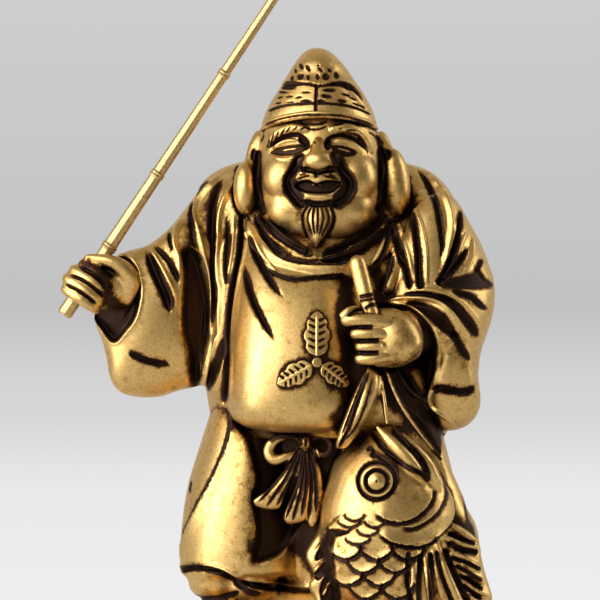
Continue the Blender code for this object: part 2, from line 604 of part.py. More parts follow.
def robe_strokes():
    strokes = [
        groove([(-24.2, 108.5), (-25.0, 100.0), (-26.2, 87.5), (-27.0, 76.2), (-27.8, 62.5)],
               1.7, 2.6, fade=(0.1, 0.1)),
        groove([(-26.5, 117.8), (-29.0, 112.2), (-29.6, 105.0), (-29.2, 98.5)], 1.7, 2.2),
        groove([(-26.0, 108.2), (-25.5, 102.0), (-26.0, 91.8)], 1.5, 2.0),
        ridge([(-32.8, 116.5), (-34.0, 109.5), (-31.8, 99.5), (-29.5, 87.5)], 1.5, 1.0),
        groove([(-30.5, 117.5), (-32.2, 112.5), (-31.8, 107.0)], 1.3, 1.3),
        hollow([(-36.8, 98.0), (-33.2, 98.0), (-31.2, 90.8), (-29.8, 83.2), (-30.0, 77.2), (-31.0, 66.5),
                (-34.0, 66.0), (-35.0, 77.5), (-36.0, 87.5)], 4.0, 1.5),
        groove([(-26.5, 77.0), (-28.0, 73.0), (-29.5, 68.5)], 1.2, 1.6),
        groove([(-17.0, 96.0), (-13.5, 94.0), (-8.8, 92.8), (-4.0, 93.0), (2.5, 93.2)],
               1.1, 1.1, fade=(0.2, 0.1)),
        groove([(-20.0, 104.5), (-18.0, 98.0), (-15.2, 92.2), (-11.5, 88.2)], 1.5, 1.4),
        groove([(-21.2, 96.2), (-19.2, 89.0), (-16.5, 82.0), (-13.8, 77.8)], 1.5, 1.3),
        groove([(-21.5, 109.0), (-20.8, 103.8), (-18.2, 99.2), (-15.5, 96.2)], 1.2, 1.3),
        groove([(-19.2, 110.0), (-17.0, 103.8), (-13.5, 99.5), (-8.2, 98.0), (0.0, 97.8), (5.5, 98.2)],
               1.2, 1.6),
        groove([(-13.2, 104.5), (-10.0, 101.8), (-5.0, 99.5)], 1.0, 0.8),
        groove([(9.0, 108.5), (6.8, 103.5), (3.0, 100.0)], 1.0, 1.0),
        groove([(15.2, 107.0), (17.0, 99.5), (19.5, 92.5)], 1.5, 1.7),
        groove([(13.2, 107.0), (10.5, 101.2), (9.0, 97.0)], 1.2, 1.3),
        groove([(14.2, 102.5), (12.8, 97.0), (13.5, 91.5)], 1.2, 1.3),
        swell((-3.5, 71.2), (2.4, 2.4), 0.9),
        swell((-3.1, 79.0), (3.4, 7.2), 1.0),
        swell((-8.8, 68.8), (6.4, 3.2), 1.0, turn=22),
        swell((1.5, 69.2), (5.0, 3.0), 1.0, turn=-22),
    ]
    return strokes


def rod_sleeve_strokes():
    return [
        hollow([(-52.8, 97.0), (-50.0, 96.5), (-48.0, 93.8), (-47.5, 88.8), (-48.8, 83.5), (-51.0, 80.0),
                (-53.8, 77.5), (-56.5, 81.5), (-58.5, 84.2), (-62.5, 87.5), (-61.5, 95.0)],
               4.5, 0.8),
        ridge([(-52.8, 98.8), (-49.2, 97.5), (-47.5, 94.0), (-46.9, 88.8), (-48.1, 83.2), (-50.5, 79.6),
               (-53.8, 76.9), (-56.9, 81.8), (-59.0, 84.2)], 0.8, 0.5,
              fade=(0.05, 0.05)),
        groove([(-46.8, 100.0), (-45.2, 97.0), (-42.8, 91.5), (-39.8, 84.2)], 1.6, 2.0),
        groove([(-43.2, 101.0), (-40.8, 98.2), (-38.5, 95.5), (-37.2, 92.0)], 1.2, 1.6),
        groove([(-40.5, 103.5), (-39.5, 101.5), (-38.8, 99.5)], 1.0, 1.0),
        groove([(-50.2, 74.5), (-45.0, 72.5), (-39.0, 70.5)], 0.9, 1.2, fade=(0.15, 0.25)),
        ridge([(-38.5, 107.0), (-38.2, 100.0), (-37.0, 90.5)], 1.2, 0.8),
    ]


def fish_sleeve_strokes():
    return [
        groove([(21.8, 120.5), (23.8, 116.8), (25.8, 112.2), (26.8, 105.8), (27.5, 100.8), (26.8, 97.0)],
               1.3, 1.8),
        ridge([(22.8, 119.5), (27.0, 113.8), (29.8, 108.0), (29.8, 101.8)], 1.3, 0.9),
        groove([(32.2, 110.0), (31.0, 103.2), (29.0, 97.0), (26.5, 91.0)], 1.4, 2.0),
        groove([(19.8, 109.5), (21.0, 103.2), (22.0, 97.0), (22.2, 91.5)], 1.3, 1.6),
        ridge([(19.2, 111.0), (22.0, 106.0), (23.2, 100.5), (23.5, 92.0)], 1.1, 0.8),
        groove([(34.0, 100.5), (31.8, 96.2), (27.8, 91.8)], 1.2, 1.5),
        hollow([(36.0, 96.5), (40.5, 91.0), (35.0, 90.0), (27.0, 90.8), (31.2, 94.5)], 1.6, 1.0),
        ridge([(21.0, 90.0), (25.8, 90.1), (30.5, 87.8), (35.2, 83.2), (39.0, 77.0)], 1.2, 1.0),
        groove([(21.2, 86.8), (25.8, 83.8), (29.5, 79.0), (32.0, 75.8), (34.5, 72.2)], 1.3, 1.5),
        groove([(29.5, 87.5), (33.5, 83.2), (37.0, 77.8)], 1.1, 1.2),
        groove([(30.2, 89.9), (35.2, 89.0), (38.8, 86.0)], 1.0, 1.0),
        groove([(25.8, 65.2), (29.5, 64.8), (33.5, 64.8), (36.2, 66.8)], 1.0, 1.1, fade=(0.1, 0.2)),
        hollow([(14.0, 86.0), (19.0, 85.5), (23.0, 82.2), (25.2, 76.5), (25.5, 70.0), (23.2, 63.5),
                (19.5, 64.5), (17.0, 70.0), (10.5, 71.0), (11.5, 85.0)], 4.5, 0.8),
        ridge([(14.0, 87.2), (20.0, 86.0), (24.2, 82.2), (26.2, 76.5), (26.3, 70.0), (24.4, 63.0),
               (25.8, 60.0), (29.5, 56.5)], 0.9, 0.5,
              fade=(0.05, 0.1)),
    ]


def fish_strokes():
    eye = (11.4, 42.8)
    strokes = [
        groove(circle(eye, 4.6), 0.8, 0.9, fade=(0.001, 0.001)),
        groove(circle(eye, 2.9), 0.7, 0.9, fade=(0.001, 0.001)),
        lap([(11.0, 35.2), (15.5, 33.2), (20.1, 34.0), (23.5, 36.8), (25.2, 40.2), (24.2, 45.0)],
            0.5, 3.0, drop=1.1, fade=(0.15, 0.2)),
        lap([(17.5, 31.5), (23.0, 32.8), (26.5, 36.0), (27.8, 40.8), (26.8, 45.0)],
            0.5, 2.4, drop=1.1, fade=(0.2, 0.2)),
        lap([(11.0, 30.0), (16.8, 27.6), (21.8, 27.1), (25.2, 28.2), (28.5, 31.5), (30.5, 34.8),
             (30.2, 38.8)], 0.7, 3.0, drop=1.3),
        groove([(9.5, 54.8), (15.0, 50.1), (20.0, 46.1), (24.2, 43.0)], 1.0, 1.1),
        groove([(15.2, 56.0), (20.0, 51.0), (23.5, 46.5), (25.0, 42.8)], 1.0, 1.1),
        groove([(-1.0, 32.5), (-3.0, 28.8), (-4.2, 24.5), (-3.0, 18.8), (-2.0, 12.5)], 1.2, 1.0),
        groove([(2.0, 27.5), (1.0, 20.0), (2.0, 12.5)], 1.2, 1.2),
    ]
    for row in range(9):
        z = 26.0 - 3.4 * row
        for column in range(3):
            x = 2.5 + 8.6 * column + (4.3 if row % 2 else 0)
            if x > 21.5 + 0.1 * row:
                continue
            arc = [(x - 4.0, z + 2.4), (x - 2.9, z + 0.5), (x, z - 0.6), (x + 2.9, z + 0.5),
                   (x + 4.0, z + 2.4)]
            strokes.append(lap(arc, 0.45, 2.6, drop=1.1, fade=(0.1, 0.1)))
    for top, low in (((21.0, 25.8), (22.2, 12.5)), ((23.5, 26.0), (26.0, 12.5)), ((26.5, 28.2),
                                                                                  (33.0, 12.5)),
        ((28.5, 30.5), (36.5, 26.2)),
                     ((29.5, 28.5), (37.5, 21.0)), ((29.0, 26.2), (38.5, 16.2))):
        strokes.append(ridge([top, ((top[0] + low[0]) / 2, (top[1] + low[1]) / 2), low],
                             0.9, 0.9, fade=(0.1, 0.1)))
    for step in range(4):
        z = 27.5 - 5.2 * step
        strokes.append(groove([(-0.5, z + 3), (-2.5, z), (-4.5, z - 4)], 0.9, 1.0))
    for step in range(-3, 4):
        strokes.append(groove([(16 + 1.3 * step, 9), (17 + 2.3 * step, 4), (18 + 3.6 * step, -0.5)],
                              0.8, 0.9))
    return strokes


def back_strokes():
    """Long plain folds down the back of the robe and its skirt."""
    strokes = []
    for top, low in ((-22, -17), (-12, -9), (-2, -1), (8, 8), (18, 17)):
        strokes.append(groove([(top, 112), (0.7 * (top + low) / 1.4, 88), (low, 58)], 1.8, 1.3))
        strokes.append(groove([(0.8 * low, 52), (0.85 * low + 0.8, 28), (0.9 * low, 2)], 1.8, 1.4))
    strokes.append(groove([(-31, 56.5), (-12, 54.5), (10, 54.5), (31, 56.5)], 1.4, 1.2, fade=(0.05, 0.05)))
    return strokes


def leaf_strokes():
    return [
        groove([(9.5, 69.5), (7.2, 63.5), (4.8, 56.5), (2.0, 51.0)], 0.6, 0.8),
        ridge([(10.5, 70.0), (9.0, 63.0), (6.0, 56.5), (2.5, 52.0)], 0.6, 0.4),
    ]


def leg_strokes():
    return [
        lap([(-23.0, 59.0), (-25.2, 52.0), (-28.8, 43.5), (-33.0, 36.0), (-36.5, 28.0), (-37.5, 22.0)],
            0.8, 3.0, drop=1.0, fade=(0.05, 0.05)),
        hollow([(-22.8, 58.5), (-20.8, 53.5), (-19.0, 47.2), (-17.8, 42.8), (-19.2, 38.2), (-18.0, 32.2),
                (-18.2, 27.5), (-19.5, 22.2), (-15.0, 23.5), (-11.0, 26.0),
                (-7.5, 32.5), (-2.0, 40.0), (2.0, 50.0), (1.5, 57.5)], 3.0, 1.4),
        groove([(-37.8, 19.5), (-32.0, 20.2), (-27.2, 19.6), (-21.0, 17.4), (-11.2, 15.5), (-5.0, 15.2)],
               1.2, 2.4, fade=(0.05, 0.05)),
        ridge([(-38.0, 21.0), (-32.0, 21.5), (-27.2, 20.9), (-21.0, 18.6), (-11.2, 17.0), (-5.0, 16.6)],
              0.9, 0.7, fade=(0.05, 0.05)),
        groove([(-36.8, 14.0), (-30.5, 13.2), (-23.5, 15.0), (-21.5, 16.5)], 1.1, 1.4),
        groove([(28.5, 55.0), (31.5, 45.0), (34.0, 32.5), (35.0, 22.5)], 1.0, 0.8),
    ]


def sash_strokes():
    strokes = []
    for top, low in (((-7.2, 51.0), (-17.0, 36.2)), ((-6.8, 51.0), (-14.5, 36.8)), ((-6.2, 50.5),
                                                                                    (-10.2, 33.0)),
        ((-5.8, 50.5), (-7.5, 33.2)),
                     ((-5.2, 51.0), (-4.2, 33.8))):
        strokes.append(groove([top, ((top[0] + low[0]) / 2 + 0.8, (top[1] + low[1]) / 2), low], 0.5, 0.6))
    return strokes


def casting_lumps():
    """The god, fish and clothes as separate lumps, each with its carving."""
    plan = (
        ("head", head_forms() + face_forms() + cap_forms() + rim_forms(), head_strokes(), 1.0, 2),
        ("robe", robe_forms() + collar_forms(), robe_strokes(), 1.0, 2),
        ("rod_sleeve", rod_sleeve_forms(), rod_sleeve_strokes(), 1.0, 2),
        ("fish_sleeve", fish_sleeve_forms(), fish_sleeve_strokes(), 1.0, 2),
        ("rod_hand", rod_hand_forms(), (), 0.6, 2),
        ("fish_hand", fish_hand_forms() + finger_forms() + stem_forms(), (), 0.6, 2),
        ("leaves", leaf_forms(), leaf_strokes(), 0.6, 1),
        ("back_cloth", back_cloth_forms(), (), 1.0, 1),
        ("fish", fish_forms(), fish_strokes(), 1.0, 1),
        ("legs", leg_forms(), leg_strokes(), 1.0, 2),
        ("sash", sash_forms(), sash_strokes(), 0.6, 1),
    )
    lumps = []
    for name, forms, strokes, fine, rounding in plan:
        back = back_strokes() if name in ("robe", "legs") else ()
        lumps.append(carve(lump(name, forms, fine * FORM_VOXEL, rounding), strokes, back))
    return lumps


def fuse(parts, name):
    """The lumps as one closed mesh with few triangles."""
    shape = bmesh.new()
    for part in parts:
        shape.from_mesh(part.data)
        bpy.data.objects.remove(part, do_unlink=True)
    mesh = bpy.data.meshes.new(name)
    shape.to_mesh(mesh)
    shape.free()
    obj = bpy.data.objects.new(name, mesh)
    bpy.context.scene.collection.objects.link(obj)
    whole = obj.modifiers.new("Fuse", "REMESH")
    whole.mode = "VOXEL"
    whole.voxel_size = FINAL_VOXEL
    soften = obj.modifiers.new("Even out", "SMOOTH")
    soften.iterations = 2
    settle(obj)
    keep_largest(obj)
    thin = obj.modifiers.new("Thin out", "DECIMATE")
    thin.ratio = FIGURE_TRIANGLES / (2 * len(obj.data.polygons))
    thin.use_collapse_triangulate = True
    return settle(obj)


def keep_largest(obj):
    """Drops stray crumbs and sealed bubbles: only the outer skin stays."""
    shape = bmesh.new()
    shape.from_mesh(obj.data)
    left = set(shape.verts)
    islands = []
    while left:
        island, edge_of = set(), [left.pop()]
        while edge_of:
            vert = edge_of.pop()
            island.add(vert)
            for edge in vert.link_edges:
                other = edge.other_vert(vert)
                if other in left:
                    left.discard(other)
                    edge_of.append(other)
        islands.append(island)
    largest = max(islands, key=len)
    bmesh.ops.delete(shape, geom=[v for v in shape.verts if v not in largest], context="VERTS")
    shape.to_mesh(obj.data)
    shape.free()


def plinth():
    """A low oval plate with a bevelled upper edge, its underside on z = 0."""
    steps = [
        (0.0, 0.0),
        (PLINTH_HEIGHT - PLINTH_EDGE, 0.0),
        (PLINTH_HEIGHT, PLINTH_EDGE),
    ]
    shape = bmesh.new()
    loops = []
    for z, inset in steps:
        ring = []
        for i in range(48):
            turn = 2 * math.pi * i / 48
            c, s = math.cos(turn), math.sin(turn)
            x = math.copysign(abs(c) ** 0.8, c) * (PLINTH_WIDTH / 2 - inset)
            y = math.copysign(abs(s) ** 0.8, s) * (PLINTH_DEPTH / 2 - inset)
            ring.append(shape.verts.new((x, y, z)))
        loops.append(ring)
    for low, high in zip(loops, loops[1:]):
        for i in range(48):
            shape.faces.new((low[i], low[(i + 1) % 48], high[(i + 1) % 48], high[i]))
    shape.faces.new(loops[0][::-1])
    shape.faces.new(loops[-1])
    mesh = bpy.data.meshes.new("plinth")
    shape.to_mesh(mesh)
    shape.free()
    obj = bpy.data.objects.new("plinth", mesh)
    bpy.context.scene.collection.objects.link(obj)
    return obj


def turned_rod(name, profile):
    """A turned piece along the rod's axis from (distance along, radius) pairs, in metres."""
    lean = Vector(ROD_LEAN).normalized()
    start = Vector(GRIP) * MM + Vector((0, 0, PLINTH_HEIGHT)) - lean * (ROD_BELOW_FIST)
    side = lean.cross(Vector((0, 1, 0))).normalized()
    front = side.cross(lean)
    shape = bmesh.new()
    loops = []
    for distance, radius in profile:
        ring = []
        for i in range(16):
            turn = 2 * math.pi * i / 16
            outward = math.cos(turn) * side + math.sin(turn) * front
            ring.append(shape.verts.new(start + lean * distance + radius * outward))
        loops.append(ring)
    for low, high in zip(loops, loops[1:]):
        for i in range(16):
            shape.faces.new((low[i], low[(i + 1) % 16], high[(i + 1) % 16], high[i]))
    shape.faces.new(loops[0][::-1])
    shape.faces.new(loops[-1])
    bmesh.ops.recalc_face_normals(shape, faces=shape.faces)
    mesh = bpy.data.meshes.new(name)
    shape.to_mesh(mesh)
    shape.free()
    obj = bpy.data.objects.new(name, mesh)
    bpy.context.scene.collection.objects.link(obj)
    return obj


def rod_radius(distance):
    share = distance / ROD_LENGTH
    return 0.5 * (ROD_BUTT_DIAMETER + (ROD_TIP_DIAMETER - ROD_BUTT_DIAMETER) * share)


def bamboo_rod():
    """The loose rod, with the raised joints of a bamboo cane at growing distances."""
    profile = [(0.0, rod_radius(0) - ROD_END_EDGE), (ROD_END_TAPER, rod_radius(0))]
    for joint in ROD_JOINTS:
        radius = rod_radius(joint)
        profile += [
            (joint - ROD_JOINT_REACH, radius),
            (joint - ROD_JOINT_LIP, radius + ROD_JOINT_RISE),
            (joint, radius + 0.4 * ROD_JOINT_RISE),
            (joint + ROD_JOINT_LIP, radius + ROD_JOINT_RISE),
            (joint + ROD_JOINT_REACH, radius),
        ]
    profile += [(ROD_LENGTH - ROD_END_TAPER, rod_radius(ROD_LENGTH)),
                (ROD_LENGTH, rod_radius(ROD_LENGTH) - ROD_END_EDGE)]
    return turned_rod("rod", profile)


def combine(obj, tool, operation):
    step = obj.modifiers.new("Join" if operation == "UNION" else "Cut", "BOOLEAN")
    step.operation = operation
    step.solver = "EXACT"
    step.object = tool
    settle(obj)
    bpy.data.objects.remove(tool, do_unlink=True)
    return obj


def metal(name, colour, roughness):
    material = bpy.data.materials.new(name)
    material.use_nodes = True
    shader = material.node_tree.nodes["Principled BSDF"]
    shader.inputs["Base Color"].default_value = (*colour, 1)
    shader.inputs["Metallic"].default_value = 1
    shader.inputs["Roughness"].default_value = roughness
    material.diffuse_color = (*colour, 1)
    return material


def main():
    clear_scene()
    figure = fuse(casting_lumps(), "figure")
    for vertex in figure.data.vertices:
        vertex.co.z += PLINTH_HEIGHT
    combine(figure, plinth(), "UNION")
    bore = [(BORE_START, rod_radius(0) + ROD_CLEARANCE), (BORE_END, rod_radius(0) + ROD_CLEARANCE)]
    combine(figure, turned_rod("bore", bore), "DIFFERENCE")
    keep_largest(figure)
    rod = bamboo_rod()
    figure.data.materials.clear()
    figure.data.materials.append(metal("gilded_bronze", (0.55, 0.38, 0.13), 0.35))
    rod.data.materials.append(metal("sandy_gold", (0.50, 0.40, 0.22), 0.5))


main()
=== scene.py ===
"""A cast-metal god of fishing with his sea bream and bamboo rod, finished in gold over a dark patina.

The figure is one casting. It is carved here in fine pieces which meet as the casting's own forms do:
head, teeth, cap, robe with both sleeves, crest, hands, bamboo end, leaves, inner robe, bream, legs, sash
and plinth. The carving is laid out in millimetres above the plinth's top: X to the viewer's right, Y to
the back, Z up.
"""

import math

import bmesh
import bpy
import numpy as np
from mathutils import Matrix, Vector
from mathutils.bvhtree import BVHTree


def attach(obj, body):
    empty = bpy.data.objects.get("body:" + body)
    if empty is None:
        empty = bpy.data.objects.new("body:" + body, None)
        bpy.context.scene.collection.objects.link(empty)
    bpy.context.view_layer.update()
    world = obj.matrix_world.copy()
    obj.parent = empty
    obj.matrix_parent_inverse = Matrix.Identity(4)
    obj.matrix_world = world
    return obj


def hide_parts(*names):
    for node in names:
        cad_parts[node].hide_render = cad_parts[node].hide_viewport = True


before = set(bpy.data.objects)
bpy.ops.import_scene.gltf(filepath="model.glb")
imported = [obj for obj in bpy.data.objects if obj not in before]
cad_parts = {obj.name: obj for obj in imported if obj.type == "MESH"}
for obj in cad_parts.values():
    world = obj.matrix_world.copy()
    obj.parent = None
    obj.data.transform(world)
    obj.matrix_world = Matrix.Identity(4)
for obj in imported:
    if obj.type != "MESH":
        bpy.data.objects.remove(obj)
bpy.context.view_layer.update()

MM = 0.001
PLINTH_WIDTH = 0.086
PLINTH_DEPTH = 0.068
PLINTH_HEIGHT = 0.005
PLINTH_INSET = 0.0001
CREST_LEAVES = (
    # foot, tip and half width of each leaf
    ((-3.3, 73.5), (-3.3, 84.9), 3.4),
    ((-4.5, 71.5), (-13.2, 66.6), 3.0),
    ((-2.1, 71.5), (4.8, 66.2), 2.7),
)
CREST_BEAD = (-3.3, 72.1)
GRIP = (-60.3, -12.5, 92.7)
ROD_LEAN = (0.553, 0.0, 0.833)
RING_POINTS = 48
PLINTH_FACES = 40000
COARSER = 1.0


# Forms: each is a stack of rings of points


def smooth_line(points, closed=False, per_span=6):
    """A smooth curve through the given points, as rows of an array."""
    points = np.array(points, float)
    count = len(points)
    line = []
    for i in range(count if closed else count - 1):
        if closed:
            a, b, c, d = (points[(i + k) % count] for k in (-1, 0, 1, 2))
        else:
            a, b, c, d = (points[min(max(i + k, 0), count - 1)] for k in (-1, 0, 1, 2))
        for t in np.arange(per_span) / per_span:
            line.append(0.5 * (2 * b + (c - a) * t + (2 * a - 5 * b + 4 * c - d) * t**2
                               + (3 * b - a - 3 * c + d) * t**3))
    if not closed:
        line.append(points[-1])
    return np.array(line)


def ring_stack(sections, lift=0.0, corner=2.0):
    """Rings, each (z, x, y, half width, half depth). Lift is how steeply they rise to the front."""
    angle = np.linspace(0, 2 * math.pi, RING_POINTS, endpoint=False)
    across = np.sign(np.cos(angle)) * abs(np.cos(angle)) ** (2 / corner)
    along = np.sign(np.sin(angle)) * abs(np.sin(angle)) ** (2 / corner)
    rings = []
    for z, x, y, wide, deep in smooth_line(sections, per_span=6):
        rings.append(np.stack([x + wide * across, y + deep * along, z - lift * deep * along], 1))
    return rings


def pebble(outline, y, front, back, full=1.0, tilt=(0.0, 0.0), centre=None):
    """An outline of (x, z) points swelled to the front and back, like a flat stone."""
    edge = smooth_line(outline, closed=True, per_span=4)
    middle = np.array(centre) if centre is not None else edge.mean(0)
    rings = []
    for turn in np.linspace(-88, 88, 21):
        share = math.cos(math.radians(turn))
        depth = abs(math.sin(math.radians(turn))) ** full
        flat = middle + (edge - middle) * share
        level = y + (back * depth if turn > 0 else -front * depth)
        level = level + (flat - middle) @ np.array(tilt)
        rings.append(np.stack([flat[:, 0], level, flat[:, 1]], 1))
    return rings


def ball(centre, radii, turn=0.0):
    """An ellipsoid, turned in the front view by some degrees."""
    c, s = math.cos(math.radians(turn)), math.sin(math.radians(turn))
    angle = np.linspace(0, 2 * math.pi, RING_POINTS, endpoint=False)
    rings = []
    for rise in np.linspace(-87, 87, 19):
        share, high = math.cos(math.radians(rise)), math.sin(math.radians(rise))
        x = radii[0] * share * np.cos(angle)
        z = np.full_like(x, radii[2] * high)
        y = radii[1] * share * np.sin(angle)
        rings.append(np.stack([x * c - z * s, y, x * s + z * c], 1) + np.array(centre))
    return rings


def limb(points, radii, flat=1.0):
    """A round-ended tube through the points. Flat is its thickness front to back as a share of its width."""
    rows = smooth_line(np.column_stack([points, radii]), per_span=7)
    centres, radius = rows[:, :3], rows[:, 3]
    along = np.gradient(centres, axis=0)
    along /= np.linalg.norm(along, axis=1)[:, None]
    angle = np.linspace(0, 2 * math.pi, 20, endpoint=False)
    rings = []

    def add_ring(centre, way, size):
        sideways = np.cross(way, (0.02, 1.0, 0.03))
        sideways /= np.linalg.norm(sideways)
        forward = np.cross(sideways, way)
        turn = np.outer(np.cos(angle), sideways) + flat * np.outer(np.sin(angle), forward)
        rings.append(centre + size * turn)

    for rise in (82, 60, 40, 20):
        drop = radius[0] * math.sin(math.radians(rise))
        add_ring(centres[0] - along[0] * drop, along[0], radius[0] * math.cos(math.radians(rise)))
    for centre, way, size in zip(centres, along, radius):
        add_ring(centre, way, size)
    for rise in (20, 40, 60, 82):
        drop = radius[-1] * math.sin(math.radians(rise))
        add_ring(centres[-1] + along[-1] * drop, along[-1], radius[-1] * math.cos(math.radians(rise)))
    return rings


def alone(obj):
    """Makes obj the only selected and active object."""
    bpy.ops.object.select_all(action="DESELECT")
    obj.select_set(True)
    bpy.context.view_layer.objects.active = obj


def finish_modifier(obj, kind, **settings):
    """Adds one modifier with its settings and applies it."""
    alone(obj)
    bpy.ops.object.modifier_add(type=kind)
    step = obj.modifiers[-1]
    for key, value in settings.items():
        setattr(step, key, value)
    bpy.ops.object.modifier_apply(modifier=step.name)


def read_rows(items, what):
    """One vector of each vertex, as rows."""
    rows = np.empty(len(items) * 3, np.float32)
    items.foreach_get(what, rows)
    return rows.reshape(-1, 3)


def skin_over(name, forms):
    """Closed tubes, one through each form's rings, in one mesh."""
    shape = bmesh.new()
    for rings in forms:
        loops = [[shape.verts.new(Vector(point) * MM) for point in ring] for ring in rings]
        for low, high in zip(loops, loops[1:]):
            for i in range(len(low)):
                j = (i + 1) % len(low)
                shape.faces.new((low[i], low[j], high[j], high[i]))
        shape.faces.new(loops[0][::-1])
        shape.faces.new(loops[-1])
    bmesh.ops.recalc_face_normals(shape, faces=shape.faces)
    mesh = bpy.data.meshes.new(name)
    shape.to_mesh(mesh)
    shape.free()
    obj = bpy.data.objects.new(name, mesh)
    bpy.context.scene.collection.objects.link(obj)
    return obj


def carving_block(name, soft, fine, voxel, rounding):
    """One skin over forms that overlap: the soft ones melt into one another, the fine ones go on top."""
    obj = skin_over(name, soft)
    finish_modifier(obj, "REMESH", mode="VOXEL", voxel_size=2.2 * voxel * MM * COARSER, adaptivity=0.0)
    finish_modifier(obj, "SMOOTH", factor=0.5, iterations=rounding)
    if fine:
        extra = skin_over(name + "_fine", fine)
        alone(obj)
        extra.select_set(True)
        bpy.ops.object.join()
    finish_modifier(obj, "REMESH", mode="VOXEL", voxel_size=voxel * MM * COARSER, adaptivity=0.0)
    finish_modifier(obj, "SMOOTH", factor=0.5, iterations=3)
    return obj


# Strokes: each gives, for spots in the front view, how far the metal rises and how much patina stays there


def near_line(spots, line):
    """For each spot: its distance from the line, how far along it lies (0 to 1), its side (1 is left)."""
    steps = np.linalg.norm(np.diff(line, axis=0), axis=1)
    passed = np.concatenate([[0], np.cumsum(steps)]) / steps.sum()
    gap = np.full(len(spots), 1e9)
    share = np.zeros(len(spots))
    side = np.ones(len(spots))
    for start, end, begun, ended in zip(line, line[1:], passed, passed[1:]):
        way = end - start
        t = np.clip(((spots - start) @ way) / (way @ way), 0, 1)
        off = spots - start - t[:, None] * way
        distance = np.hypot(off[:, 0], off[:, 1])
        nearer = distance < gap
        gap[nearer] = distance[nearer]
        share[nearer] = (begun + (ended - begun) * t)[nearer]
        side[nearer] = np.sign(way[0] * off[:, 1] - way[1] * off[:, 0])[nearer]
    return gap, share, side


def strength(share, fade):
    """A stroke's strength along its length: it rises over the first part and dies away over the last."""
    rise = np.clip(share / max(fade[0], 1e-6), 0, 1)
    fall = np.clip((1 - share) / max(fade[1], 1e-6), 0, 1)
    return np.sin(rise * math.pi / 2) * np.sin(fall * math.pi / 2)


def in_reach(spots, line, reach):
    low, high = line.min(0) - reach, line.max(0) + reach
    return np.nonzero(((spots > low) & (spots < high)).all(1))[0]


def inside(spots, line):
    """Which spots lie inside a closed line."""
    found = np.zeros(len(spots), bool)
    for (ax, az), (bx, bz) in zip(line, line[1:]):
        crosses = (az > spots[:, 1]) != (bz > spots[:, 1])
        found ^= crosses & (spots[:, 0] < ax + (spots[:, 1] - az) * (bx - ax) / (bz - az + 1e-12))
    return found


def groove(points, width, depth, fade=(0.35, 0.35), ink=0.9, lean=0.0):
    """A valley along the points, which narrows as it fades. Lean makes its left bank the steeper one."""
    line = smooth_line(points)

    def stroke(spots):
        rise, dark = np.zeros(len(spots)), np.zeros(len(spots))
        near = in_reach(spots, line, width * 2.6)
        gap, share, side = near_line(spots[near], line)
        power = strength(share, fade)
        wide = width * (0.2 + 0.8 * power) * (1 - lean * side)
        rise[near] = -depth * power * (1 - np.clip(gap / wide, 0, 1) ** 2) ** 2
        core = np.clip(1.75 * (1 - gap / (1.6 * wide)), 0, 1)
        dark[near] = np.clip(power * 1.6, 0, 1) * (ink * core + 0.26 * np.clip(1 - gap / (2.6 * wide), 0, 1))
        return rise, dark

    return stroke


def ridge(points, width, height, fade=(0.35, 0.35), polish=0.5):
    """A raised line along the points, rubbed bright."""
    line = smooth_line(points)

    def stroke(spots):
        rise, dark = np.zeros(len(spots)), np.zeros(len(spots))
        near = in_reach(spots, line, width)
        gap, share, _ = near_line(spots[near], line)
        power = strength(share, fade)
        wide = width * (0.3 + 0.7 * power)
        body = (1 - np.clip(gap / wide, 0, 1) ** 2) ** 2
        rise[near] = height * power * body
        dark[near] = -polish * power * body
        return rise, dark

    return stroke


def lap(points, height, reach, drop=0.8, fade=(0.15, 0.15), ink=0.9, polish=0.3, shade=0.0):
    """The edge of an upper layer: metal to the left of the line stands proud, with a dark cut under it."""
    line = smooth_line(points)

    def stroke(spots):
        rise, dark = np.zeros(len(spots)), np.zeros(len(spots))
        near = in_reach(spots, line, max(reach, 1.8 * drop))
        gap, share, side = near_line(spots[near], line)
        power = strength(share, fade)
        over = height * (1 - np.clip(gap / reach, 0, 1)) ** 2
        under = -height * (1 - np.clip(gap / drop, 0, 1)) ** 2
        rise[near] = power * np.where(side > 0, over, under)
        lip = shade * np.clip(gap / drop - 1, 0, 1) * np.clip(2 * (1 - gap / reach), 0, 1)
        lip -= polish * np.clip(1 - gap / (0.7 * drop), 0, 1)
        cut = ink * np.clip(1.5 * (1 - gap / (1.5 * drop)), 0, 1)
        dark[near] = np.clip(power * 1.5, 0, 1) * np.where(side > 0, lip, cut)
        return rise, dark

    return stroke


def hollow(outline, depth, edge=1.0, ink=0.9):
    """A sunk area inside a closed outline, cut straight back."""
    line = smooth_line(outline, closed=True)
    line = np.vstack([line, line[:1]])

    def stroke(spots):
        rise, dark = np.zeros(len(spots)), np.zeros(len(spots))
        near = in_reach(spots, line, edge)
        flat = spots[near]
        gap, _, _ = near_line(flat, line)
        sunk = np.clip(0.5 + np.where(inside(flat, line), gap, -gap) / (2 * edge), 0, 1)
        rise[near] = -depth * sunk
        dark[near] = ink * sunk
        return rise, dark

    stroke.straight = True
    return stroke


def stain(outline, edge, ink):
    """An area where the patina was left on, with no carving."""
    return hollow(outline, 0.0, edge, ink)


def swell(centre, radii, height, turn=0.0, ink=0.0):
    """A soft rounded rise, or a dip where the height is negative."""
    c, s = math.cos(math.radians(turn)), math.sin(math.radians(turn))

    def stroke(spots):
        off = spots - np.array(centre)
        across = (off[:, 0] * c + off[:, 1] * s) / radii[0]
        upward = (off[:, 1] * c - off[:, 0] * s) / radii[1]
        body = np.clip(1 - across**2 - upward**2, 0, 1) ** 2
        return height * body, ink * np.clip(2.2 * body, 0, 1)

    return stroke


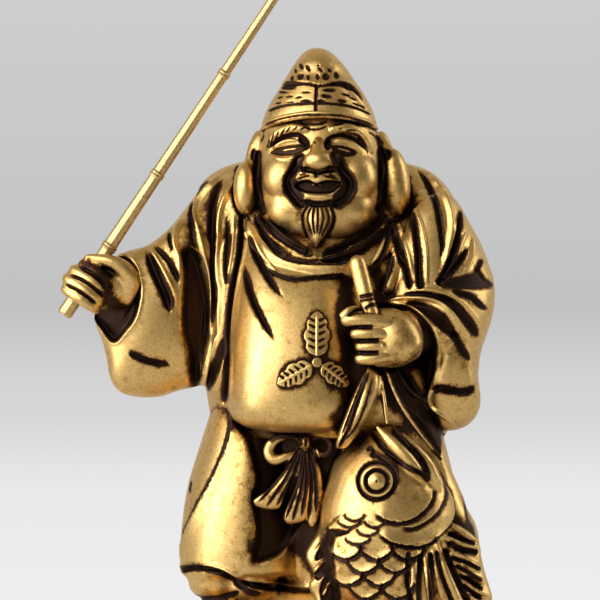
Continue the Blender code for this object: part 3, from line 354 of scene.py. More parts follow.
def carve(obj, front=(), back=()):
    """Cuts strokes laid out in the front view into the faces that look forward, or those that look back."""
    mesh = obj.data
    spots = read_rows(mesh.vertices, "co") / MM
    ways = read_rows(mesh.vertex_normals, "vector")
    flat = spots[:, (0, 2)].astype(float)
    push, sink, ink = np.zeros(len(spots)), np.zeros(len(spots)), np.zeros(len(spots))
    for strokes, looks in ((front, -ways[:, 1]), (back, ways[:, 1])):
        facing = np.clip(looks * 2.5 + 0.3, 0, 1)
        seen = np.nonzero(facing > 0)[0]
        for stroke in strokes:
            rise, dark = stroke(flat[seen])
            moved = sink if hasattr(stroke, "straight") else push
            moved[seen] += facing[seen] * rise
            ink[seen] += facing[seen] * dark
    spots += ways * push[:, None]
    spots[:, 1] -= sink
    mesh.vertices.foreach_set("co", (spots * MM).ravel().astype(np.float32))
    store = mesh.attributes.new("patina", "FLOAT", "POINT")
    store.data.foreach_set("value", np.clip(ink, -0.6, 1.3).astype(np.float32))
    mesh.update()


def make_crest(robe):
    """Three lobed leaves round a bead, lying on the robe's front."""
    corners = (read_rows(robe.data.vertices, "co") / MM).tolist()
    faces = [tuple(face.vertices) for face in robe.data.polygons]
    under = BVHTree.FromPolygons(corners, faces)
    cell = 0.13
    across = np.arange(-14.5, 6.5, cell)
    upward = np.arange(64.5, 86.5, cell)
    flat = np.stack(np.meshgrid(across, upward, indexing="ij"), -1).reshape(-1, 2)
    outlines = [oak_leaf(*leaf) for leaf in CREST_LEAVES] + [circle(CREST_BEAD, 1.4, 16)[:-1]]
    height, ink = np.full(len(flat), -0.4), np.full(len(flat), 1.0)
    for outline, tall in zip(outlines, (0.55, 0.55, 0.55, 0.95)):
        line = smooth_line(outline, closed=True, per_span=3)
        line = np.vstack([line, line[:1]])
        gap, _, _ = near_line(flat, line)
        signed = np.where(inside(flat, line), gap, -gap)
        leaf = tall * np.clip(0.35 + signed / 0.5, -0.5, 1)
        leaf = np.where(signed < -0.3, -0.4, leaf)
        higher = leaf > height
        height = np.where(higher, leaf, height)
        ink = np.where(higher, np.clip(0.9 - signed / 0.32, -0.35, 1.0), ink)
    for stroke in crest_veins():
        rise, dark = stroke(flat)
        height += np.where(height > 0.3, rise, 0)
        ink += np.where(height > 0.2, dark, 0)
    keep = (height > -0.35).reshape(len(across), len(upward))
    level = np.zeros(len(flat))
    for i in np.nonzero(keep.ravel())[0]:
        hit = under.ray_cast((flat[i, 0], -60.0, flat[i, 1]), (0, 1, 0))[0]
        level[i] = hit[1] if hit else 0.0
    number = -np.ones(len(flat), int)
    number[keep.ravel()] = np.arange(keep.sum())
    number = number.reshape(keep.shape)
    whole = keep[:-1, :-1] & keep[1:, :-1] & keep[1:, 1:] & keep[:-1, 1:]
    squares = np.stack([number[:-1, :-1], number[1:, :-1], number[1:, 1:], number[:-1, 1:]], -1)[whole]
    kept = keep.ravel()
    spots = np.column_stack([flat[kept, 0], level[kept] - height[kept], flat[kept, 1]]) * MM
    mesh = bpy.data.meshes.new("figure_crest")
    mesh.from_pydata(spots.tolist(), [], squares.tolist())
    obj = bpy.data.objects.new("figure_crest", mesh)
    bpy.context.scene.collection.objects.link(obj)
    finish_modifier(obj, "SMOOTH", factor=0.5, iterations=1)
    store = mesh.attributes.new("patina", "FLOAT", "POINT")
    store.data.foreach_set("value", np.clip(ink[kept], -0.5, 1.2).astype(np.float32))
    return obj


def circle(centre, radius, count=24):
    turns = [2 * math.pi * i / count for i in range(count + 1)]
    return [(centre[0] + radius * math.cos(a), centre[1] + radius * math.sin(a)) for a in turns]


# Head


def head_forms():
    face = ring_stack([(101.6, -2.5, -9.0, 5.0, 5.0), (103.4, -2.5, -8.5, 10.2, 9.0),
                       (107.0, -2.5, -7.5, 14.0, 12.0), (112.0, -2.5, -7.0, 15.7, 13.5),
                       (117.0, -2.5, -6.5, 15.9, 14.0), (123.0, -2.6, -6.0, 15.4, 14.0),
                       (129.5, -2.7, -5.5, 14.2, 13.5), (134.0, -2.7, -5.0, 12.6, 11.6)])
    ears = [
        ball((-18.3, -4.0, 125.5), (1.9, 3.5, 4.6), turn=-8),
        ball((-21.2, -9.2, 115.3), (3.0, 4.2, 6.7)),
        limb([(-18.9, -5.5, 126), (-20.0, -8, 119)], [1.6, 2.2]),
        ball((13.3, -3.5, 125.5), (1.9, 3.5, 4.4), turn=8),
        ball((16.3, -8.0, 116.8), (3.7, 4.4, 8.7), turn=6),
        limb([(13.6, -5.0, 126.5), (15.2, -7, 121)], [1.6, 2.4]),
    ]
    cheeks = [
        ball((-11.0, -13.6, 118.0), (5.8, 6.2, 6.6)),
        ball((6.0, -13.6, 118.0), (5.8, 6.2, 6.6)),
        ball((-9.6, -12.0, 110.4), (6.4, 7.0, 6.4)),
        ball((4.6, -12.0, 110.4), (6.4, 7.0, 6.4)),
        ball((-2.8, -15.5, 109.5), (5.5, 4.0, 4.0)),
    ]
    return [face, *ears, *cheeks]


def face_forms():
    nose = [
        limb([(-3.2, -18.0, 127.5), (-3.0, -19.6, 125.5), (-3.0, -21.2, 122.6)], [1.2, 1.8, 2.7]),
        ball((-3.0, -21.6, 122.1), (3.5, 2.7, 2.7)),
        ball((-6.3, -20.0, 121.6), (2.0, 2.0, 1.8)),
        ball((0.5, -20.0, 121.6), (2.0, 2.0, 1.8)),
    ]
    brows = [
        limb([(-15.4, -13.2, 125.5), (-13.3, -15.6, 128.6), (-9.5, -17.6, 130.1), (-6, -18.4, 129.8)],
             [0.8, 1.1, 1.2, 0.9]),
        limb([(0.6, -18.4, 129.9), (4.5, -17.6, 130.2), (8.0, -15.6, 128.4), (10.2, -13.2, 124.6)],
             [0.9, 1.2, 1.1, 0.8]),
    ]
    lips = [
        limb([(-9.2, -16.8, 117.0), (-6.6, -18.8, 118.6), (-3.6, -19.9, 118.3)], [0.5, 1.2, 0.8]),
        limb([(-2.6, -19.9, 118.2), (0.4, -18.9, 118.5), (3.4, -16.8, 117.2)], [0.8, 1.2, 0.5]),
        limb([(-6.2, -17.8, 113.3), (-2.8, -19.1, 113.0), (0.5, -17.8, 113.3)], [0.95, 1.2, 0.95]),
        ball((-2.8, -16.4, 110.8), (3.2, 2.6, 1.6)),
    ]
    beard = pebble([(-5.8, 111.2), (-2.8, 111.8), (0.2, 111.2), (0.8, 107.8), (-0.6, 104.0), (-3.5, 100.4),
                    (-5.4, 103.5), (-6.6, 107.2)], -17.3, 4.4, 3.5, full=0.7)
    return [*nose, *brows, *lips, beard]


def head_strokes():
    strokes = [
        # brow creases, lids and eyes
        groove([(-15.5, 124.8), (-13.8, 126.6), (-12.0, 127.8), (-9.8, 128.5), (-7.8, 128.4), (-6.2, 127.4),
                (-5.5, 125.8), (-6.2, 124.5)], 0.42, 0.9, fade=(0.3, 0.15), ink=1.0),
        groove([(-8.0, 127.7), (-6.6, 126.8), (-6.0, 125.8), (-6.5, 124.8)], 0.75, 0.9, fade=(0.3, 0.3),
               ink=1.1),
        hollow([(-14.8, 124.1), (-12.8, 125.2), (-10.0, 125.8), (-7.5, 125.9), (-6.2, 125.2), (-7.0, 124.2),
                (-9.2, 123.5), (-11.8, 123.4), (-13.5, 123.6)], 0.6, 0.28, ink=1.1),
        ridge([(-14.2, 124.9), (-12.2, 126.4), (-10.0, 127.1), (-7.8, 127.0)], 0.75, 0.7, fade=(0.2, 0.3),
              polish=0.6),
        ridge([(-12.8, 124.3), (-10.5, 124.8), (-7.8, 125.1)], 0.35, 0.3, fade=(0.4, 0.3), polish=1.3),
        ridge([(-14.5, 123.2), (-11.5, 122.5), (-8.5, 122.9)], 0.6, 0.25, fade=(0.4, 0.4), polish=0.3),
        groove([(-0.8, 124.5), (-1.0, 126.2), (0.0, 127.7), (2.0, 128.4), (4.2, 128.2), (6.2, 127.2),
                (7.8, 125.8), (8.8, 124.5)], 0.4, 0.8, fade=(0.15, 0.3), ink=0.95),
        groove([(0.4, 127.5), (-0.4, 126.8), (-0.6, 125.8), (0.0, 124.8)], 0.72, 0.9, fade=(0.3, 0.3),
               ink=1.1),
        hollow([(0.2, 125.6), (2.2, 125.9), (4.5, 125.4), (6.5, 124.2), (5.5, 123.2), (3.2, 123.2),
                (1.2, 124.0)], 0.6, 0.28, ink=1.1),
        ridge([(1.0, 126.8), (3.0, 127.1), (5.0, 126.4), (7.0, 124.9), (8.2, 123.5)], 0.65, 0.7,
              fade=(0.2, 0.3), polish=0.6),
        ridge([(1.5, 125.1), (3.2, 124.8), (5.5, 124.1)], 0.38, 0.3, fade=(0.3, 0.4), polish=1.3),
        # laughter folds
        groove([(-6.5, 123.8), (-8.0, 122.2), (-9.0, 120.0), (-10.4, 117.5), (-10.4, 115.0), (-9.2, 113.0),
                (-7.5, 111.2), (-6.0, 110.8)], 1.15, 1.4, fade=(0.12, 0.12), ink=1.15),
        groove([(0.2, 124.5), (2.0, 122.0), (3.2, 119.5), (4.8, 117.2), (5.1, 115.0), (3.8, 112.8),
                (1.8, 111.5), (0.0, 110.8)], 1.25, 1.4, fade=(0.12, 0.12), ink=1.15),
        stain([(3.5, 119.5), (5.0, 118.2), (6.0, 116.0), (5.6, 114.0), (4.0, 112.8), (3.0, 113.5),
               (3.0, 116.5)], 0.6, 0.8),
        stain([(1.2, 123.5), (2.8, 123.0), (3.0, 121.2), (2.0, 121.8)], 0.5, 0.6),
        stain([(-9.8, 116.5), (-8.2, 117.3), (-7.8, 115.0), (-6.5, 113.6), (-7.0, 112.5), (-8.5, 113.2),
               (-9.9, 114.8)], 0.35, 0.9),
        stain([(2.5, 117.0), (4.5, 116.5), (4.6, 114.5), (3.0, 112.8), (1.2, 112.2), (0.7, 113.6),
               (2.0, 115.0)], 0.35, 0.9),
        # mouth
        hollow([(-8.5, 116.0), (-7.0, 116.9), (-5.2, 117.0), (-3.5, 116.2), (-1.5, 116.9), (0.5, 117.0),
                (2.5, 116.6), (1.5, 115.1), (0.0, 114.2), (-3.0, 114.0), (-6.0, 114.3), (-7.8, 115.1)], 2.0,
               0.35, ink=1.25),
        ridge([(-6.2, 113.3), (-3.2, 113.0), (-0.2, 113.3)], 0.5, 0.3, fade=(0.15, 0.15), polish=0.9),
        groove([(-7.2, 112.1), (-5.0, 111.5), (-2.8, 111.2), (-0.5, 111.5), (1.2, 112.2)], 0.7, 0.9,
               fade=(0.2, 0.2), ink=1.1),
        groove([(-8.5, 117.4), (-6.8, 117.9), (-4.8, 118.4)], 0.26, 0.3, ink=0.6),
        groove([(-2.0, 118.4), (0.2, 117.9), (2.5, 117.4)], 0.26, 0.3, ink=0.6),
        groove([(-7.8, 118.4), (-6.0, 118.8)], 0.24, 0.25, ink=0.5),
        groove([(-0.5, 118.6), (1.5, 118.1)], 0.24, 0.25, ink=0.5),
        groove([(-3.4, 119.8), (-3.4, 117.5)], 0.5, 0.4, ink=0.6),
        # nose
        groove([(-7.8, 121.0), (-6.8, 119.8), (-4.8, 119.6), (-3.1, 119.2), (-1.2, 119.6), (0.8, 119.8),
                (2.0, 121.0)], 0.5, 0.6, fade=(0.1, 0.1), ink=1.1),
        swell((-5.9, 120.0), (1.3, 0.7), -0.5, ink=1.2),
        swell((0.0, 120.2), (1.4, 0.7), -0.5, ink=1.2),
        swell((-4.0, 129.8), (0.3, 0.5), -0.3, ink=0.9),
        swell((-3.9, 126.6), (0.5, 0.5), -0.3, ink=0.9),
        # forehead
        groove([(-7.8, 132.0), (-5.5, 131.2), (-2.5, 131.2), (-0.4, 132.1)], 0.26, 0.35, fade=(0.2, 0.2),
               ink=0.85),
        groove([(-6.8, 130.7), (-4.8, 129.9), (-2.5, 130.0), (-0.6, 130.8)], 0.26, 0.35, fade=(0.2, 0.2),
               ink=0.85),
        # jaw, ears and temples
        groove([(-18.0, 125.0), (-18.2, 120.0), (-18.0, 115.0), (-17.2, 111.0), (-16.5, 108.5)], 0.8, 1.2,
               fade=(0.1, 0.05), ink=1.15),
        groove([(12.5, 126.0), (13.1, 121.2), (13.0, 116.2), (12.5, 111.2), (11.8, 109.0)], 0.85, 1.2,
               fade=(0.1, 0.05), ink=1.15),
        groove([(-18.8, 125.5), (-19.2, 123.8), (-18.9, 122.0)], 0.5, 0.7, ink=1.0),
        groove([(13.5, 124.8), (14.1, 123.8), (13.8, 122.2)], 0.9, 0.9, ink=1.15),
        stain([(14.0, 125.0), (17.0, 124.5), (19.0, 118.8), (18.8, 111.2), (15.5, 109.0), (13.5, 111.2),
               (14.0, 118.8)], 2.0, 0.14),
        groove([(11.4, 128.8), (12.2, 127.0), (12.5, 125.0)], 0.5, 0.5, ink=1.0),
        groove([(-16.8, 130.5), (-12.5, 132.2), (-7.5, 133.1), (-2.5, 133.2), (3.8, 132.8), (11.0, 130.6)],
               0.3, 0.15, fade=(0.1, 0.1), ink=0.8),
        stain([(-15.0, 130.0), (-11.5, 131.8), (-7.5, 132.5), (-2.5, 132.7), (3.2, 132.2), (8.5, 130.5),
               (5.0, 129.8), (1.0, 130.2), (-3.5, 129.2), (-7.5, 130.5), (-11.5, 129.8)], 0.5, -0.4),
        # under the jaw and at the beard's sides
        stain([(-7.8, 109.8), (-6.8, 108.5), (-7.8, 106.8), (-6.8, 105.2), (-8.2, 106.0), (-8.5, 108.2)],
              0.5, 0.5),
        groove([(-5.2, 111.2), (-6.7, 108.8), (-6.7, 106.0), (-5.5, 103.0), (-3.8, 100.5)], 0.26, 0.5,
               fade=(0.1, 0.1), ink=0.55),
        groove([(-0.2, 111.0), (0.8, 108.8), (0.6, 106.0), (-1.2, 103.0), (-3.0, 100.5)], 0.36, 0.6,
               fade=(0.1, 0.1), ink=0.8),
    ]
    for foot, tip in (((-15.0, 125.8), (-14.0, 129.8)), ((-13.8, 127.0), (-12.8, 130.0)),
                      ((-12.4, 128.1), (-11.0, 131.0)), ((-11.0, 129.0), (-9.5, 131.0)),
                      ((-9.2, 129.4), (-7.8, 130.9)), ((-7.5, 129.5), (-5.8, 130.5)),
                      ((-15.8, 125.0), (-15.2, 128.0)), ((1.0, 130.8), (4.0, 130.9)),
                      ((2.0, 129.8), (5.2, 130.5)), ((3.8, 129.5), (6.8, 129.4)),
                      ((5.2, 128.9), (8.2, 127.2)), ((6.5, 127.9), (9.2, 125.2)),
                      ((7.5, 126.8), (9.5, 123.5)), ((9.5, 129.2), (11.5, 127.5)),
                      ((10.0, 130.2), (11.8, 129.0)), ((-16.8, 129.2), (-16.0, 130.8)),
                      ((-17.2, 126.8), (-16.5, 129.0))):
        middle = (0.5 * (foot[0] + tip[0]) + 0.25, 0.5 * (foot[1] + tip[1]) + 0.3)
        strokes.append(groove([foot, middle, tip], 0.2, 0.3, fade=(0.2, 0.5), ink=0.62))
    for step in (-2.2, -1.1, 0.0, 1.1, 2.2):
        top, wide, low = -3.0 + 0.75 * step, -3.0 + 1.2 * step, -3.3 + 0.45 * step
        strokes.append(groove([(top, 110.8), (wide, 107.6), (low, 103.6 - 0.3 * abs(step))], 0.27, 0.45,
                              fade=(0.15, 0.25), ink=0.85))
    return strokes


def teeth():
    return [ball((-4.2, -18.6, 116.1), (0.5, 0.9, 0.42)), ball((-2.5, -18.8, 116.1), (0.5, 0.9, 0.42))]


def cap_forms():
    shell = ring_stack([(129.9, -2.7, -5.5, 14.3, 13.9), (131.6, -2.7, -5.4, 14.3, 13.9),
                        (136.0, -2.6, -5.0, 12.6, 12.5), (141.0, -2.6, -4.5, 9.4, 10.9),
                        (145.0, -2.8, -4.0, 6.9, 9.7), (148.2, -3.1, -3.2, 4.3, 6.9),
                        (149.6, -3.3, -2.4, 2.4, 3.8), (150.1, -3.4, -2.4, 0.8, 1.4)], lift=0.22)
    return [shell]


def rim_forms():
    return [limb([(-17.0, -6, 130.0), (-14.0, -14.2, 131.7), (-8.0, -18.6, 133.0), (-2.6, -19.8, 133.5),
                  (3.0, -18.6, 133.1), (8.6, -14.2, 131.8), (11.6, -6, 130.2)],
                 [0.5, 0.75, 0.85, 0.85, 0.85, 0.75, 0.5])]


def cap_strokes():
    strokes = [
        groove([(-15.5, 134.5), (-11.8, 135.7), (-7.5, 136.2), (-2.5, 136.3), (2.5, 136.0), (6.5, 135.1),
                (10.2, 133.6)], 0.28, 0.35, fade=(0.04, 0.04), ink=1.0),
        groove([(-3.4, 141.0), (-3.5, 137.5), (-3.7, 134.0)], 0.32, 0.5, fade=(0.05, 0.1), ink=1.1),
        lap([(-12.2, 140.5), (-10.5, 141.4), (-8.0, 141.5), (-5.5, 141.4), (-3.2, 140.9), (-0.8, 141.1),
             (2.0, 141.6), (4.0, 141.2), (6.2, 139.5), (8.2, 136.8)], 0.8, 3.2, drop=0.6, fade=(0.1, 0.1),
            ink=1.0),
        groove([(-12.2, 140.0), (-9.8, 141.0), (-7.5, 141.1)], 0.5, 0.4, ink=0.9),
        groove([(0.0, 140.8), (2.5, 141.0), (4.8, 140.2), (6.8, 138.0)], 0.45, 0.4, ink=0.9),
        ridge([(3.8, 140.5), (6.2, 138.5), (9.0, 134.8)], 0.9, 0.35, fade=(0.3, 0.3), polish=0.4),
        groove([(-16.5, 130.8), (-12.5, 132.5), (-7.5, 133.3), (-2.5, 133.4), (3.8, 133.1), (11.0, 130.8)],
               0.3, 0.4, fade=(0.05, 0.05), ink=0.5),
        ridge([(-16.8, 131.5), (-11.8, 133.1), (-6.8, 133.9), (-2.5, 134.1), (3.8, 133.6), (10.5, 131.6)],
              0.35, 0.2, fade=(0.1, 0.1), polish=0.6),
        stain([(-9.0, 144.0), (-7.0, 146.0), (-3.8, 146.5), (0.0, 145.5), (2.8, 143.0), (2.5, 141.5),
               (-1.0, 141.2), (-5.0, 141.5), (-8.5, 141.8)], 1.2, 0.12),
    ]
    pits = (((-7.2, 145.6), 0.45, 0.8, 25), ((-5.5, 145.2), 0.45, 0.95, 30), ((-8.6, 144.5), 0.3, 0.55, 15),
            ((-2.4, 144.8), 0.8, 0.4, -40), ((-0.2, 144.6), 0.6, 0.4, -35), ((-2.9, 145.8), 0.3, 0.25, 0),
            ((-9.2, 142.4), 0.42, 0.75, 10), ((-7.2, 142.9), 0.75, 0.9, 0), ((-5.4, 142.7), 0.4, 0.8, 12),
            ((-3.1, 142.9), 0.42, 0.85, 0), ((-1.1, 142.9), 0.8, 0.95, 0), ((1.4, 143.2), 0.6, 0.95, 8),
            ((-10.2, 140.3), 1.5, 0.5, 0), ((-0.2, 139.6), 1.6, 0.45, 0), ((-6.0, 139.1), 1.1, 0.25, 0),
            ((-11.8, 139.2), 1.1, 0.3, -5), ((-10.2, 138.1), 0.9, 0.25, 5), ((-7.8, 137.9), 0.8, 0.3, 5),
            ((-0.8, 138.1), 1.4, 0.5, -8), ((-12.5, 137.9), 0.7, 0.25, 12), ((3.8, 138.5), 1.2, 0.3, -12),
            ((-6.0, 137.0), 1.3, 0.35, 0), ((-10.0, 136.7), 0.9, 0.2, 4), ((-2.2, 136.9), 1.0, 0.42, -4),
            ((2.8, 136.9), 1.1, 0.45, -8), ((-12.9, 136.5), 0.7, 0.25, 10), ((5.5, 137.6), 1.0, 0.25, -25),
            ((6.5, 136.1), 1.1, 0.25, -22), ((4.8, 139.8), 1.3, 0.3, -22), ((8.0, 135.5), 0.9, 0.25, -30))
    for centre, wide, high, turn in pits:
        strokes.append(swell(centre, (1.35 * wide, 1.35 * high), -0.35, turn, ink=1.1))
    return strokes


# Robe


def robe_forms():
    """The robe's body with its front panel and both sleeves, melted together."""
    body = ring_stack([(53.0, 0.5, 1.0, 28.0, 22.0), (59.0, 0.5, 0.0, 30.5, 24.5),
                       (70.0, 0.0, 0.0, 31.5, 26.0), (83.0, -1.0, 0.5, 31.5, 24.5),
                       (95.0, -1.5, 1.5, 32.0, 21.5), (105.0, -1.0, 3.5, 32.5, 17.0),
                       (112.0, -1.0, 5.0, 32.3, 13.5), (116.0, -1.7, 5.5, 31.0, 12.5),
                       (120.0, -1.9, 6.0, 26.5, 11.0), (122.5, -2.3, 6.5, 18.7, 9.5),
                       (124.0, -2.5, 7.0, 10.0, 6.5)])
    neck = ball((-2.5, -5.0, 100.0), (12.0, 12.6, 8.6))
    panel = ring_stack([(54.8, -7.5, -8.0, 8.0, 18.0), (56.2, -8.0, -9.5, 14.0, 19.5),
                        (59.0, -8.6, -10.5, 16.4, 20.5), (64.0, -8.9, -11.0, 16.7, 21.0),
                        (75.0, -8.5, -11.0, 16.4, 20.6), (86.0, -8.2, -9.5, 15.8, 19.0),
                        (94.0, -8.0, -7.5, 15.2, 16.6), (100.0, -8.5, -5.0, 14.2, 13.6),
                        (106.0, -9.5, -3.0, 13.0, 10.0)], corner=2.7)
    return [body, neck, panel] + rod_sleeve_forms() + fish_sleeve_forms()


def collar_forms():
    return [
        limb([(-20.9, -13.6, 107.6), (-20.2, -15.6, 105.4), (-17.8, -18.6, 101), (-12.5, -21.6, 97.0),
              (-4, -23.4, 95.3), (5, -22.8, 95.0), (9, -21.6, 95.2)],
             [0.7, 1.4, 1.75, 1.75, 1.75, 1.7, 1.6], flat=0.5),
        limb([(-17.6, -13.5, 107.2), (-14.3, -16.8, 103.4), (-8.5, -19.6, 99.4), (-3.6, -20.6, 98.0)],
             [0.6, 0.9, 0.9, 0.6], flat=0.7),
        limb([(-15.6, -14.0, 107.0), (-11.5, -17.0, 102.9), (-6.0, -19.2, 99.8)], [0.6, 0.9, 0.5], flat=0.7),
        limb([(13.6, -12.5, 107), (10.0, -16.5, 102.6), (3.0, -19.6, 98.8), (-2.6, -20.6, 97.8)],
             [0.7, 0.9, 0.8, 0.5], flat=0.7),
        limb([(15.8, -12.5, 105.5), (14.2, -15.5, 101.5), (10.2, -19.0, 95.0)], [0.9, 1.6, 1.1], flat=0.7),
        limb([(17.2, -13.0, 104.5), (16.8, -16.5, 98.5), (14.3, -20, 90)], [0.8, 1.6, 1.2], flat=0.7),
    ]


def oak_leaf(foot, tip, half, lobes=3):
    """The outline of a lobed leaf from its foot to its tip."""
    foot, tip = np.array(foot), np.array(tip)
    way = tip - foot
    side = np.array((-way[1], way[0])) / np.linalg.norm(way)
    right, left = [], []
    for t in np.linspace(0.06, 0.96, 22):
        bulge = half * math.sin(math.pi * t**0.8) ** 0.55
        bulge *= 0.76 + 0.24 * abs(math.sin(math.pi * lobes * t + 0.3)) ** 0.7
        right.append(tuple(foot + way * t + side * bulge))
        left.append(tuple(foot + way * t - side * bulge))
    return [tuple(foot)] + right + [tuple(tip)] + left[::-1]


def crest_strokes():
    """Dark metal left round the crest's leaves."""
    return [stain(oak_leaf(foot, tip, half + 0.45), 0.4, 0.75) for foot, tip, half in CREST_LEAVES]


def crest_veins():
    """A raised midrib along each leaf, and cuts that slant out from it."""
    strokes = []
    for foot, tip, half in CREST_LEAVES:
        foot, way = np.array(foot), np.array(tip) - np.array(foot)
        side = np.array((-way[1], way[0])) / np.linalg.norm(way)
        strokes.append(ridge([tuple(foot), tuple(foot + 0.5 * way), tuple(foot + 0.93 * way)], 0.3, 0.22,
                             fade=(0.02, 0.2), polish=0.6))
        for t in (0.18, 0.33, 0.48, 0.63, 0.77):
            for sign in (-1, 1):
                start = foot + way * t + sign * side * 0.4
                end = start + way * 0.09 + sign * side * half * 0.62
                strokes.append(groove([tuple(start), tuple((start + end) / 2), tuple(end)], 0.34, 0.35,
                                      fade=(0.02, 0.8), ink=1.2))
    return strokes


